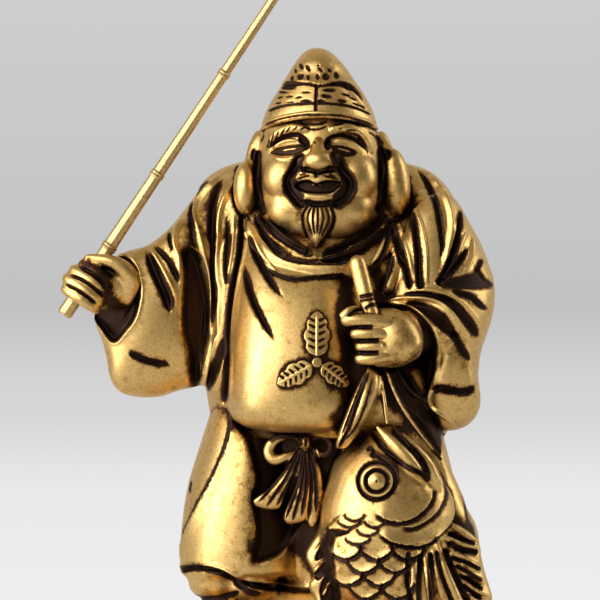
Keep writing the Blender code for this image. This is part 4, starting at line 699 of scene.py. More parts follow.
def cloth_strokes():
    """Folds, hems and cuts of the robe and both its sleeves, as they cross from piece to piece."""
    return [
        # the rod's side: shoulder and chest
        groove([(-23.0, 121.5), (-23.4, 118.2), (-23.9, 114.0), (-23.4, 110.8), (-21.8, 108.4),
                (-19.5, 107.5)], 0.45, 0.8, fade=(0.1, 0.1), ink=1.1),
        groove([(-21.8, 109.0), (-21.9, 104.8), (-22.6, 98.0), (-24.1, 91.2), (-25.0, 84.5), (-25.4, 77.8),
                (-25.5, 71.0), (-26.2, 64.5), (-26.5, 61.5)], 0.85, 2.2, fade=(0.04, 0.06), ink=1.2),
        ridge([(-23.2, 117.5), (-26.0, 113.5), (-27.6, 108.8), (-28.0, 103.5), (-28.1, 98.0), (-27.8, 93.0),
               (-27.2, 89.5), (-27.6, 82.8), (-28.0, 77.8)], 0.9, 0.9, fade=(0.15, 0.2), polish=0.4),
        ridge([(-24.1, 109.5), (-24.1, 101.5), (-24.9, 95.5), (-25.9, 91.2), (-26.5, 84.5)], 0.5, 0.6,
              fade=(0.2, 0.2), polish=0.4),
        groove([(-25.8, 108.8), (-25.4, 103.5), (-25.8, 99.8), (-26.0, 96.2), (-25.7, 91.0)], 0.62, 1.0,
               fade=(0.5, 0.15), ink=1.1),
        stain([(-26.0, 109.5), (-24.8, 107.5), (-24.2, 102.5), (-24.8, 97.0), (-25.4, 92.5), (-26.0, 97.0),
               (-26.0, 103.5)], 0.8, 0.3),
        groove([(-26.8, 117.8), (-28.5, 114.5), (-29.4, 111.0), (-29.5, 106.0), (-29.3, 101.0)], 0.95, 1.5,
               fade=(0.3, 0.15), ink=1.1),
        groove([(-29.5, 103.5), (-29.1, 96.2), (-29.0, 91.2), (-28.9, 86.2), (-29.4, 79.5)], 0.5, 1.1,
               fade=(0.15, 0.35), ink=1.05),
        stain([(-32.5, 110.2), (-30.5, 111.0), (-30.2, 107.0), (-30.6, 103.5), (-31.8, 103.5),
               (-32.5, 107.0)], 1.1, 0.45),
        ridge([(-26.2, 119.8), (-30.1, 115.9), (-32.9, 112.2), (-33.8, 108.8), (-33.3, 105.5),
               (-32.1, 100.8), (-31.1, 96.2), (-30.4, 92.5), (-29.9, 88.5), (-29.7, 84.5), (-30.0, 79.5),
               (-30.6, 75.5)], 0.7, 1.0, fade=(0.15, 0.2), polish=0.6),
        groove([(-30.0, 117.2), (-32.0, 115.6), (-33.1, 113.2)], 0.5, 0.7, fade=(0.2, 0.3), ink=1.1),
        groove([(-34.4, 112.5), (-34.8, 108.5), (-34.1, 103.5), (-33.5, 100.0)], 0.55, 0.7, fade=(0.3, 0.3),
               ink=0.9),
        hollow([(-36.5, 99.0), (-33.5, 99.0), (-31.8, 94.5), (-30.6, 88.5), (-30.2, 82.8), (-30.8, 77.8),
                (-31.8, 72.5), (-33.1, 66.0), (-34.0, 65.5), (-34.6, 69.5), (-35.0, 74.5), (-35.9, 77.8),
                (-36.4, 82.8), (-36.2, 88.0)], 3.2, 1.0, ink=0.95),
        stain([(-34.8, 107.0), (-33.5, 103.0), (-32.8, 98.5), (-36.5, 98.0), (-36.8, 101.0),
               (-35.8, 104.0)], 2.2, 0.75),
        stain([(-36.0, 88.5), (-34.8, 88.5), (-33.8, 77.5), (-33.0, 66.5), (-34.8, 66.0), (-35.8, 75.0),
               (-36.8, 82.0)], 1.4, 0.5),
        ridge([(-31.5, 88.0), (-32.0, 81.2), (-32.4, 74.5), (-32.5, 67.5)], 0.3, 0.4, fade=(0.2, 0.2),
              polish=0.45),
        hollow([(-26.8, 77.8), (-26.5, 74.5), (-27.8, 69.8), (-30.0, 65.2), (-30.7, 66.0), (-29.8, 69.8),
                (-28.4, 74.5)], 1.1, 0.4, ink=1.25),
        ridge([(-26.0, 78.2), (-25.9, 74.5), (-27.1, 69.0), (-29.4, 64.5)], 0.4, 0.5, fade=(0.15, 0.15),
              polish=0.6),
        ridge([(-28.0, 79.2), (-29.1, 75.0), (-30.4, 71.0), (-31.4, 66.0)], 0.5, 0.6, fade=(0.15, 0.1),
              polish=0.5),
        ridge([(-35.2, 109.5), (-38.0, 105.5), (-38.8, 101.5), (-37.5, 97.5), (-37.0, 92.5), (-37.0, 88.5)],
              1.0, 0.9, fade=(0.2, 0.3)),
        groove([(-40.1, 104.5), (-39.9, 102.0), (-39.0, 99.5)], 0.4, 0.7, fade=(0.3, 0.3), ink=1.05),
        # the rod's sleeve
        hollow([(-52.8, 97.8), (-50.0, 97.0), (-48.0, 94.0), (-47.4, 88.8), (-48.6, 83.5), (-51.0, 79.9),
                (-53.8, 77.2), (-57.1, 81.0), (-59.2, 84.0), (-62.5, 87.5), (-61.5, 95.0)], 4.6, 0.5,
               ink=1.35),
        ridge([(-53.2, 98.9), (-50.8, 98.6), (-49.0, 97.4), (-47.6, 94.5), (-46.9, 88.8), (-48.0, 83.2),
               (-50.4, 79.6), (-53.8, 76.8), (-57.1, 81.0), (-59.2, 84.0)], 0.55, 0.4, fade=(0.05, 0.05),
              polish=0.7),
        ridge([(-48.9, 91.8), (-49.2, 88.2), (-50.8, 84.5), (-52.2, 82.5)], 0.4, 0.9, polish=1.1),
        stain([(-58.4, 84.2), (-55.0, 85.0), (-51.5, 84.0), (-51.5, 80.0), (-53.8, 77.8), (-56.5, 80.9)],
              0.35, 1.1),
        groove([(-45.8, 100.0), (-43.8, 95.2), (-42.0, 91.2), (-40.5, 87.8), (-39.8, 84.2)], 1.15, 1.7,
               fade=(0.3, 0.2), ink=1.15),
        stain([(-43.0, 95.5), (-41.0, 93.0), (-38.8, 88.5), (-38.5, 86.0), (-40.0, 85.5), (-41.8, 90.0)],
              0.9, 0.35),
        ridge([(-45.5, 101.0), (-43.0, 97.5), (-40.6, 93.2), (-38.6, 88.8), (-38.0, 85.0)], 0.7, 0.9,
              fade=(0.2, 0.3)),
        groove([(-44.0, 101.0), (-42.0, 99.4), (-40.0, 97.0), (-38.2, 93.6), (-37.5, 91.5)], 0.62, 1.1,
               fade=(0.25, 0.25), ink=1.1),
        groove([(-50.2, 74.5), (-48.2, 73.5), (-46.0, 72.6), (-43.0, 71.8), (-41.0, 71.6), (-39.5, 71.0)],
               0.72, 0.8, fade=(0.15, 0.3), ink=1.15),
        # the front panel: its side, its neck band and its pulled folds
        ridge([(-20.8, 107.1), (-21.4, 100.0), (-22.5, 93.8), (-23.4, 88.0), (-24.1, 81.2), (-24.5, 74.5),
               (-24.6, 62.5)], 0.6, 0.5, fade=(0.1, 0.1), polish=0.3),
        groove([(-17.0, 96.2), (-13.5, 94.0), (-8.8, 92.6), (-4.0, 93.0), (3.8, 93.4)], 0.5, 0.8,
               fade=(0.25, 0.05), ink=1.05),
        groove([(-20.5, 104.5), (-19.3, 100.8), (-18.0, 97.8), (-16.2, 94.5), (-14.0, 91.0), (-11.5, 88.0)],
               0.8, 1.2, fade=(0.3, 0.35), ink=1.1),
        groove([(-21.2, 96.5), (-20.6, 92.5), (-19.6, 88.5), (-17.8, 84.5), (-16.0, 81.2), (-13.5, 77.2)],
               0.85, 1.2, fade=(0.3, 0.35), ink=1.1),
        ridge([(-21.8, 97.0), (-21.4, 92.5), (-20.2, 88.0), (-18.5, 84.0), (-16.0, 80.0)], 0.45, 0.4,
              polish=0.4),
        ridge([(-19.5, 105.0), (-17.8, 100.5), (-15.5, 97.0), (-12.5, 93.5)], 0.7, 0.6, polish=0.4),
        groove([(-18.8, 109.0), (-16.8, 104.2), (-14.2, 100.2), (-11.0, 97.9), (-6.2, 96.9), (0.0, 96.8),
                (4.8, 97.0)], 0.5, 1.0, fade=(0.1, 0.1), ink=1.15),
        groove([(-17.2, 109.0), (-15.0, 105.5), (-11.5, 102.5), (-7.5, 100.2), (-4.2, 98.5)], 0.9, 1.0,
               ink=1.15, fade=(0.1, 0.1)),
        groove([(-15.5, 103.0), (-12.8, 100.0), (-9.0, 98.5)], 0.35, 0.5, ink=1.0),
        groove([(13.8, 109.5), (11.0, 106.0), (7.0, 102.5), (2.5, 100.0), (-2.2, 98.2)], 1.2, 1.2, ink=1.2,
               fade=(0.1, 0.1)),
        groove([(13.5, 105.5), (10.0, 101.5), (5.5, 98.5), (0.5, 97.2)], 0.7, 0.8, ink=1.15,
               fade=(0.2, 0.1)),
        stain([(3.2, 91.5), (2.2, 88.0), (1.5, 84.0), (2.2, 77.5), (3.5, 69.5), (3.0, 63.0), (0.0, 58.0),
               (3.8, 54.5), (8.0, 62.5), (8.0, 75.0), (6.0, 87.5), (5.0, 92.0)], 1.0, 1.0),
        stain([(1.0, 95.5), (5.0, 95.5), (5.5, 90.0), (4.0, 80.0), (4.5, 72.0), (2.5, 80.0), (1.5, 87.5)],
              1.6, 0.35),
        # the fish's side: shoulder and chest
        stain([(9.2, 95.5), (11.2, 96.5), (12.8, 94.5), (12.5, 91.5), (16.0, 89.0), (14.0, 86.8),
               (10.5, 87.5), (11.0, 91.2)], 0.8, 1.0),
        groove([(17.5, 123.0), (18.9, 118.8), (19.8, 114.8), (19.8, 111.0), (18.2, 108.2), (15.5, 107.0),
                (12.8, 108.0)], 0.5, 0.9, fade=(0.1, 0.1), ink=1.15),
        groove([(15.0, 107.5), (16.2, 103.2), (17.5, 98.5), (18.8, 94.5), (19.8, 90.0)], 0.8, 1.5,
               fade=(0.08, 0.1), ink=1.2),
        ridge([(16.8, 107.5), (18.4, 102.5), (19.6, 98.5), (20.5, 93.5)], 0.7, 0.7, fade=(0.2, 0.2),
              polish=0.4),
        groove([(14.4, 106.5), (14.1, 101.8), (12.5, 97.8), (10.0, 95.8)], 0.5, 0.9, fade=(0.15, 0.2),
               ink=1.15),
        groove([(15.8, 99.0), (14.8, 95.0), (13.4, 92.0), (12.5, 89.5)], 0.6, 1.0, fade=(0.3, 0.1),
               ink=1.15),
        groove([(19.7, 111.0), (20.7, 106.2), (21.3, 102.5), (21.8, 98.5), (22.0, 93.8), (22.5, 90.0)],
               0.85, 1.5, fade=(0.25, 0.05), ink=1.2),
        ridge([(20.4, 111.2), (22.1, 107.5), (23.2, 103.1), (23.8, 98.5), (23.8, 91.0)], 0.55, 0.8,
              fade=(0.2, 0.08), polish=0.5),
        groove([(21.8, 120.2), (23.5, 117.8), (25.1, 114.8), (26.3, 111.5), (27.0, 108.0), (27.5, 104.8),
                (27.8, 101.0), (27.2, 97.0)], 0.62, 1.5, fade=(0.25, 0.35), ink=1.15),
        ridge([(22.4, 120.2), (25.0, 118.2), (27.4, 115.0), (29.2, 111.5), (30.0, 108.0), (30.0, 104.8),
               (29.2, 100.8), (27.8, 95.5)], 1.1, 1.2, fade=(0.2, 0.3), polish=0.5),
        ridge([(31.6, 109.0), (30.7, 104.8), (29.8, 100.6), (28.2, 96.0), (25.9, 91.0)], 0.45, 0.6,
              fade=(0.2, 0.1), polish=0.5),
        groove([(32.5, 110.5), (32.0, 106.5), (31.2, 103.0), (30.2, 99.0), (28.6, 95.0), (26.5, 91.0)], 0.9,
               1.6, fade=(0.25, 0.05), ink=1.2),
        ridge([(34.2, 105.0), (32.5, 101.5), (31.3, 98.2)], 0.8, 0.5, fade=(0.4, 0.2), polish=0.2),
        groove([(34.5, 100.8), (32.5, 97.8), (30.5, 95.2), (27.8, 92.2)], 0.75, 1.2, fade=(0.35, 0.1),
               ink=1.15),
        ridge([(35.2, 103.5), (35.2, 99.0), (34.2, 96.0), (32.8, 94.0)], 0.7, 0.8, fade=(0.25, 0.2),
              polish=0.6),
        groove([(37.9, 97.8), (37.0, 96.2), (36.2, 94.5)], 0.6, 0.7, fade=(0.3, 0.1), ink=1.05),
        hollow([(27.5, 90.9), (30.2, 92.8), (33.1, 93.6), (35.0, 94.0), (36.5, 95.0), (38.2, 93.2),
                (40.5, 91.0), (37.5, 90.3), (31.9, 90.3)], 1.2, 0.6, ink=1.25),
        # the fish's sleeve: forearm folds and mouth
        ridge([(20.0, 89.6), (23.8, 90.1), (27.0, 89.6), (30.2, 88.2), (33.4, 86.0), (36.0, 83.0),
               (38.0, 79.8)], 0.7, 0.8, fade=(0.15, 0.3), polish=0.6),
        groove([(17.5, 88.8), (22.0, 89.0), (25.2, 88.6), (27.8, 87.8)], 0.5, 0.8, fade=(0.3, 0.3), ink=1.1),
        groove([(25.2, 88.7), (28.4, 87.5), (31.1, 85.6), (33.0, 83.5), (34.9, 81.0), (37.0, 77.8)], 1.05,
               1.3, fade=(0.3, 0.25), ink=1.15),
        ridge([(14.0, 87.4), (19.0, 88.0), (23.8, 87.8), (27.0, 86.7), (29.6, 84.5), (31.5, 82.0),
               (33.3, 79.2), (35.2, 76.5)], 0.85, 0.9, fade=(0.15, 0.35), polish=0.4),
        hollow([(19.5, 86.6), (23.8, 86.2), (26.5, 85.1), (29.0, 83.0), (30.7, 80.2), (31.2, 78.2),
                (30.2, 78.1), (27.8, 79.8), (25.2, 82.0), (22.8, 84.3), (20.2, 85.8)], 1.5, 0.6, ink=1.2),
        groove([(30.0, 80.0), (31.4, 77.5), (32.8, 75.0), (34.8, 72.2)], 0.8, 1.1, fade=(0.2, 0.35),
               ink=1.15),
        groove([(29.8, 89.9), (32.5, 89.0), (35.0, 88.2), (37.2, 86.2), (39.5, 84.8)], 0.72, 0.9,
               fade=(0.25, 0.3), ink=1.15),
        ridge([(30.0, 90.2), (33.5, 89.9), (36.5, 89.3)], 0.35, 0.4, polish=0.6),
        stain([(27.8, 79.8), (30.5, 77.0), (33.0, 73.5), (34.5, 71.0), (31.5, 72.0), (28.5, 75.0),
               (26.5, 78.0)], 2.0, 0.3),
        groove([(25.2, 64.8), (27.0, 65.5), (29.2, 65.2), (31.8, 64.8), (34.0, 64.8), (36.2, 66.2)], 0.85,
               1.1, fade=(0.1, 0.2), ink=1.2),
        hollow([(12.5, 86.2), (17.5, 86.0), (20.5, 84.6), (23.0, 82.4), (24.9, 79.8), (25.9, 76.5),
                (26.0, 70.5), (25.2, 67.5), (23.9, 64.2), (20.0, 64.5), (17.0, 70.0), (10.5, 71.0),
                (11.0, 85.0)], 4.6, 0.5, ink=1.35),
        ridge([(14.0, 86.6), (17.5, 86.3), (20.8, 85.1), (23.3, 82.9), (25.2, 80.3), (26.5, 77.5),
               (26.8, 74.4), (26.7, 70.5), (25.9, 67.2), (24.7, 64.2), (24.5, 62.5), (25.5, 60.6),
               (28.2, 58.5), (30.8, 56.5)], 0.55, 0.6, fade=(0.05, 0.1), polish=0.8),
        ridge([(14.8, 86.2), (20.5, 83.1), (23.7, 79.4), (24.1, 76.2), (23.2, 73.0)], 0.3, 0.5, polish=0.5),
        stain([(12.0, 71.0), (18.5, 71.0), (24.5, 63.0), (26.0, 60.0), (27.5, 52.5), (23.5, 52.5),
               (17.0, 58.8), (11.5, 64.5)], 1.0, 1.0),
    ]


def back_strokes():
    """Long soft folds down the back of the robe and its skirt, as a plainer answer to those in front."""
    strokes = []
    for top, high, low, foot in ((-25, 104, -19, 62), (-16, 108, -11, 60), (-6, 101, -5, 66),
                                 (3, 108, 4, 59), (12, 102, 12, 64), (22, 106, 20, 60), (-15, 52, -19, 12),
                                 (-8, 50, -10, 3), (1, 52, 0, 9), (8, 50, 10, 4), (15, 52, 19, 14)):
        sway = 0.9 if top < 0 else -0.9
        line = [(top, high), (0.66 * top + 0.34 * low + sway, 0.66 * high + 0.34 * foot),
                (0.33 * top + 0.67 * low + 0.4 * sway, 0.33 * high + 0.67 * foot), (low, foot)]
        strokes.append(groove(line, 1.25, 1.5, fade=(0.5, 0.3), ink=0.55))
        strokes.append(ridge([(x + 2.6, z + 1.0) for x, z in line], 1.3, 0.8, fade=(0.4, 0.3), polish=0.4))
    strokes.append(lap([(-31, 56.5), (-12, 54.5), (10, 54.5), (31, 56.5)], 0.6, 2.5, drop=1.2,
                       fade=(0.05, 0.05)))
    strokes.append(groove([(-18, 121), (-8, 117.5), (3, 117.5), (13, 121)], 0.8, 0.9, fade=(0.2, 0.2),
                          ink=0.7))
    return strokes


# Sleeves and hands


def rod_sleeve_forms():
    hanging = pebble([(-32.5, 108.8), (-38.5, 106.6), (-42.5, 103.3), (-46, 101.0), (-50.5, 99.8),
                      (-54.5, 97.5), (-57.8, 90), (-58.8, 83), (-56.8, 77.0), (-55.7, 72.5), (-54.9, 68),
                      (-52.6, 64.6), (-48, 63.2), (-42.5, 63.3), (-38, 64.8), (-33.0, 66.0), (-29.0, 69),
                      (-27, 87.5), (-28.8, 102.5)], -5.0, 10.0, 8.0, full=0.75, tilt=(0.12, 0.0),
                     centre=(-43.0, 84.0))
    upper_arm = limb([(-24, 2, 108), (-34, -1, 99.5), (-44, -5, 92.5)], [11.5, 8.8, 7.0])
    return [hanging, upper_arm]


def rod_hand_forms():
    """A fist round the rod: fingers cross it square, in steps along it."""
    centre = np.array(GRIP)
    along = np.array(ROD_LEAN) / np.linalg.norm(ROD_LEAN)
    across = np.array((along[2], 0.0, -along[0]))
    forward = np.array((0.0, -1.0, 0.0))
    forms = [
        ball((-54.6, -10.8, 91.2), (6.0, 5.4, 6.4), turn=-20),
        limb([(-55.0, -10.0, 91.0), (-50, -8.5, 92), (-44, -6, 92)], [5.2, 5.2, 5.2]),
        limb([(-50.6, -12.0, 88.2), (-49.6, -14.0, 92.2), (-51.8, -15.6, 95.6), (-55.6, -16.2, 97.3),
              (-60.0, -15.2, 97.8)], [2.2, 2.5, 2.1, 1.6, 1.3]),
    ]
    for step, size, start, end in ((2.6, 1.45, -2.4, 5.0), (0.05, 1.5, -3.5, 6.0), (-2.65, 1.5, -3.8, 5.8),
                                   (-5.1, 1.4, -2.7, 6.0)):
        bends = ((start, -1.0), (start - 0.4, 1.6), (start + 1.6, 3.6), (1.2, 4.5), (end - 1.5, 3.9),
                 (end, 1.8))
        points = [centre + along * step + across * a + forward * f for a, f in bends]
        forms.append(limb(points, [size, size, 1.02 * size, size, size, 0.9 * size]))
    return forms


def rod_hand_strokes():
    return [
        groove([(-64.8, 93.8), (-61.8, 92.6), (-58.8, 90.6), (-56.2, 88.2)], 0.36, 0.7, fade=(0.2, 0.1),
               ink=1.2),
        groove([(-66.0, 91.5), (-63.0, 90.1), (-60.2, 88.2), (-58.0, 86.5)], 0.36, 0.7, fade=(0.2, 0.15),
               ink=1.2),
        groove([(-62.5, 96.0), (-60.0, 94.6), (-57.2, 92.5), (-55.2, 90.0)], 0.5, 0.8, fade=(0.2, 0.1),
               ink=1.2),
        stain([(-62.0, 97.2), (-60.0, 97.8), (-58.0, 96.2), (-55.2, 95.8), (-52.8, 93.5), (-54.2, 92.8),
               (-54.5, 90.5), (-56.5, 92.2), (-59.5, 94.8), (-62.0, 96.0)], 0.7, 0.8),
        stain([(-56.5, 89.8), (-55.0, 91.5), (-53.8, 90.0), (-52.5, 87.8), (-51.2, 86.2), (-54.5, 85.0),
               (-56.5, 86.5)], 0.9, 0.9),
    ]


def fish_sleeve_forms():
    hanging = pebble([(30.5, 113.5), (35, 106.5), (38.0, 100), (40.6, 93.8), (41.2, 87.5), (40, 81.3),
                      (37.8, 75), (37, 68.8), (37.6, 62.5), (36.6, 58.7), (33.8, 55.9), (29.3, 54.8),
                      (25.5, 56.3), (24.3, 62), (25.5, 70), (24.5, 76.3), (21.3, 82), (17, 85.5),
                      (13.8, 87), (15.5, 91.3), (17.5, 100), (20, 108.8), (25, 113.8)], -8.0, 13.0, 12.0,
                     full=0.75, tilt=(0.35, 0.0), centre=(31.0, 80.0))
    upper_arm = limb([(23.5, 4, 108.5), (29.4, 1, 99.0), (31.8, -5, 88), (27, -15, 82), (20, -22, 80)],
                     [8.0, 8.8, 9.2, 8.6, 5.5])
    shoulder = [ball((24.3, -2.2, 111.3), (6.2, 5.8, 4.3)), ball((24.0, 1.0, 113.5), (6.0, 5.5, 4.6))]
    return [hanging, upper_arm, *shoulder]


def fish_hand_forms():
    back = pebble([(10.5, 83.6), (13.8, 85.5), (18, 84.6), (21.4, 81.4), (22.9, 77), (21.8, 73.4),
                   (17, 71.0), (13, 71.0), (10.5, 72.4)], -28.0, 6.3, 6.0, full=0.75)
    return [back, ball((10, -28.0, 78.0), (4.2, 4.4, 6.4)),
            limb([(17, -25, 79), (26, -14, 81)], [5.4, 5.4])]


def finger_forms():
    forms = []
    for z, tip, size in ((82.6, 3.6, 1.75), (79.2, 5.8, 1.6), (76.0, 7.0, 1.5), (73.0, 6.8, 1.5)):
        knuckle = 78.0 + 0.85 * (z - 78.0)
        forms.append(limb([(17.5, -30.4, knuckle - 0.3), (14, -32.2, knuckle), (tip + 3.5, -32.95, z),
                           (tip + 0.7, -32.4, z), (tip + 0.6, -30.3, z)],
                          [0.8 * size, size, size, 0.95 * size, 0.85 * size]))
    forms.append(limb([(8.5, -30, 85.4), (5.0, -32, 85.2), (3.0, -32.2, 83.8)], [0.7, 0.8, 0.8]))
    return forms


def fish_hand_strokes():
    return [
        groove([(4.0, 80.6), (7.0, 80.8), (10.5, 80.8)], 0.42, 0.9, fade=(0.15, 0.04), ink=1.25),
        groove([(5.0, 77.4), (9.0, 77.4), (12.0, 77.4)], 0.45, 0.9, fade=(0.15, 0.03), ink=1.25),
        groove([(5.2, 74.4), (9.0, 74.4), (12.0, 74.4)], 0.45, 0.9, fade=(0.15, 0.03), ink=1.25),
        swell((13.0, 76.2), (0.8, 0.6), 0.25),
        groove([(4.0, 83.5), (6.5, 84.5), (9.5, 84.5)], 0.4, 0.5, fade=(0.2, 0.1), ink=1.15),
        stain([(17.5, 87.5), (20.5, 84.5), (22.4, 80.8), (23.1, 77.5), (22.9, 74.5), (21.0, 72.0),
               (18.0, 70.5), (27.5, 68.5), (29.0, 80.0), (25.0, 87.5)], 0.5, 1.2),
        stain([(13.5, 70.5), (18.5, 71.2), (21.8, 73.2), (22.4, 76.5), (20.8, 74.5), (18.5, 73.2),
               (15.0, 72.0)], 0.9, 0.4),
        stain([(14.0, 85.0), (18.5, 85.5), (22.5, 82.0), (23.5, 76.2), (21.0, 72.5), (16.0, 71.5),
               (13.5, 74.5), (14.0, 80.0)], 3.0, 0.15),
    ]


def stem_forms():
    return [limb([(6.7, -28.8, 96.6), (8.0, -29.8, 91.5), (9.1, -30.6, 87.0), (10.4, -31.2, 83.0)],
                 [2.1, 2.1, 2.0, 1.95])]


def stem_strokes():
    return [
        groove([(7.0, 88.2), (9.0, 88.6), (11.0, 89.0)], 0.4, 0.35, fade=(0.05, 0.05), ink=0.9),
        groove([(7.2, 87.2), (9.2, 87.5), (11.5, 88.0)], 0.3, 0.25, fade=(0.05, 0.05), ink=0.6),
        groove([(8.5, 85.2), (10.0, 86.2), (12.0, 86.5)], 0.4, 0.3, fade=(0.05, 0.05), ink=0.8),
    ]


# Leaves, fish, legs and sash


def leaf_forms():
    broad = pebble([(9.7, 71.5), (12.2, 68), (10.9, 61.3), (7.6, 55.6), (4.4, 51.3), (2.2, 51.2),
                    (4.2, 56.8), (6.6, 62.5), (8.2, 67.5)], -26.0, 4.2, 5.0, full=0.8)
    narrow = pebble([(8.5, 69.5), (5.4, 63.8), (2.9, 57.5), (1.3, 51.5), (2.4, 51.3), (4.8, 57.5),
                     (7.2, 63.8)], -26.0, 3.2, 5.0, full=0.8)
    slip = limb([(12.4, -25.5, 68.5), (13.3, -27, 62), (14.1, -27.5, 56.6)], [0.5, 0.75, 0.6])
    fan = [
        limb([(13.4, -23.5, 71.0), (15.3, -24.6, 66), (18.4, -25.2, 60), (23.3, -24.6, 53.3),
              (27.4, -22, 48.0)], [0.5, 0.62, 0.66, 0.7, 0.6]),
        limb([(16.5, -21.5, 70.5), (19.4, -22.6, 65.5), (23.9, -21.6, 62.2)], [0.45, 0.5, 0.4]),
        limb([(14.0, -22.0, 70.5), (17.6, -23.4, 62.4), (20.8, -23.0, 59.4), (24.0, -22.0, 56.4)],
             [0.45, 0.5, 0.5, 0.4]),
    ]
    return [broad, narrow, slip, *fan]


def leaf_strokes():
    return [
        groove([(9.6, 70.0), (7.2, 63.5), (4.8, 56.5), (2.0, 50.8)], 0.38, 0.7, fade=(0.1, 0.1), ink=1.1),
        groove([(8.2, 68.0), (5.5, 61.0), (2.8, 54.0)], 0.26, 0.4, fade=(0.15, 0.2), ink=1.0),
        groove([(10.5, 68.5), (9.0, 62.5), (6.5, 56.5), (3.5, 52.5)], 0.28, 0.4, fade=(0.2, 0.2), ink=0.8),
        stain([(12.8, 71.0), (13.5, 66.5), (12.0, 62.5), (10.5, 57.5), (13.5, 52.5), (27.5, 47.0),
               (29.5, 52.5), (26.5, 62.5), (18.5, 71.0)], 0.8, 1.0),
        ridge([(14.0, 70.0), (15.2, 66.2), (17.2, 62.0), (19.4, 58.5), (23.2, 53.2), (26.2, 49.5)], 0.6,
              0.1, fade=(0.04, 0.1), polish=1.25),
        ridge([(13.1, 65.5), (13.6, 61.2), (14.1, 56.5)], 0.6, 0.1, fade=(0.08, 0.08), polish=1.25),
        ridge([(16.5, 70.0), (19.0, 65.5), (23.8, 62.0)], 0.35, 0.0, polish=0.45),
    ]


def back_cloth_forms():
    """The inner robe behind the leaves, running down beside the fish."""
    return [pebble([(8, 72), (22, 72), (25, 62), (27.5, 54), (29.5, 47), (32.5, 40), (36, 30), (38.5, 20),
                    (40.2, 12), (34, 8), (24, 10), (10, 20), (4, 44), (6, 60)], -10.0, 9.5, 10.0, full=0.6,
                   centre=(22.0, 42.0))]


def back_cloth_strokes():
    return [
        groove([(14.0, 69.5), (18.5, 62.0), (23.5, 55.0), (27.5, 48.5)], 0.9, 1.0, fade=(0.1, 0.1), ink=1.2),
        groove([(17.5, 70.0), (22.0, 63.0), (25.5, 59.5)], 0.9, 1.0, fade=(0.1, 0.2), ink=1.2),
        ridge([(23.2, 53.5), (26.0, 50.0), (27.8, 46.0), (29.5, 40.5)], 0.5, 0.6, polish=0.7),
        groove([(30.5, 52.5), (33.0, 42.5), (35.0, 31.2), (35.5, 25.5)], 0.8, 0.7, fade=(0.2, 0.2), ink=0.9),
        ridge([(29.0, 55.0), (32.0, 45.0), (34.8, 32.5)], 0.9, 0.6),
        stain([(11.5, 71.0), (18.5, 71.0), (22.5, 64.5), (26.5, 60.0), (28.5, 55.5), (27.0, 51.0),
               (23.5, 53.5), (18.5, 55.5), (13.5, 56.5), (10.5, 62.5)], 0.9, 1.1),
        stain([(29.0, 32.0), (30.5, 34.5), (33.0, 33.5), (36.0, 30.0), (33.0, 30.0)], 0.8, 0.7),
    ]


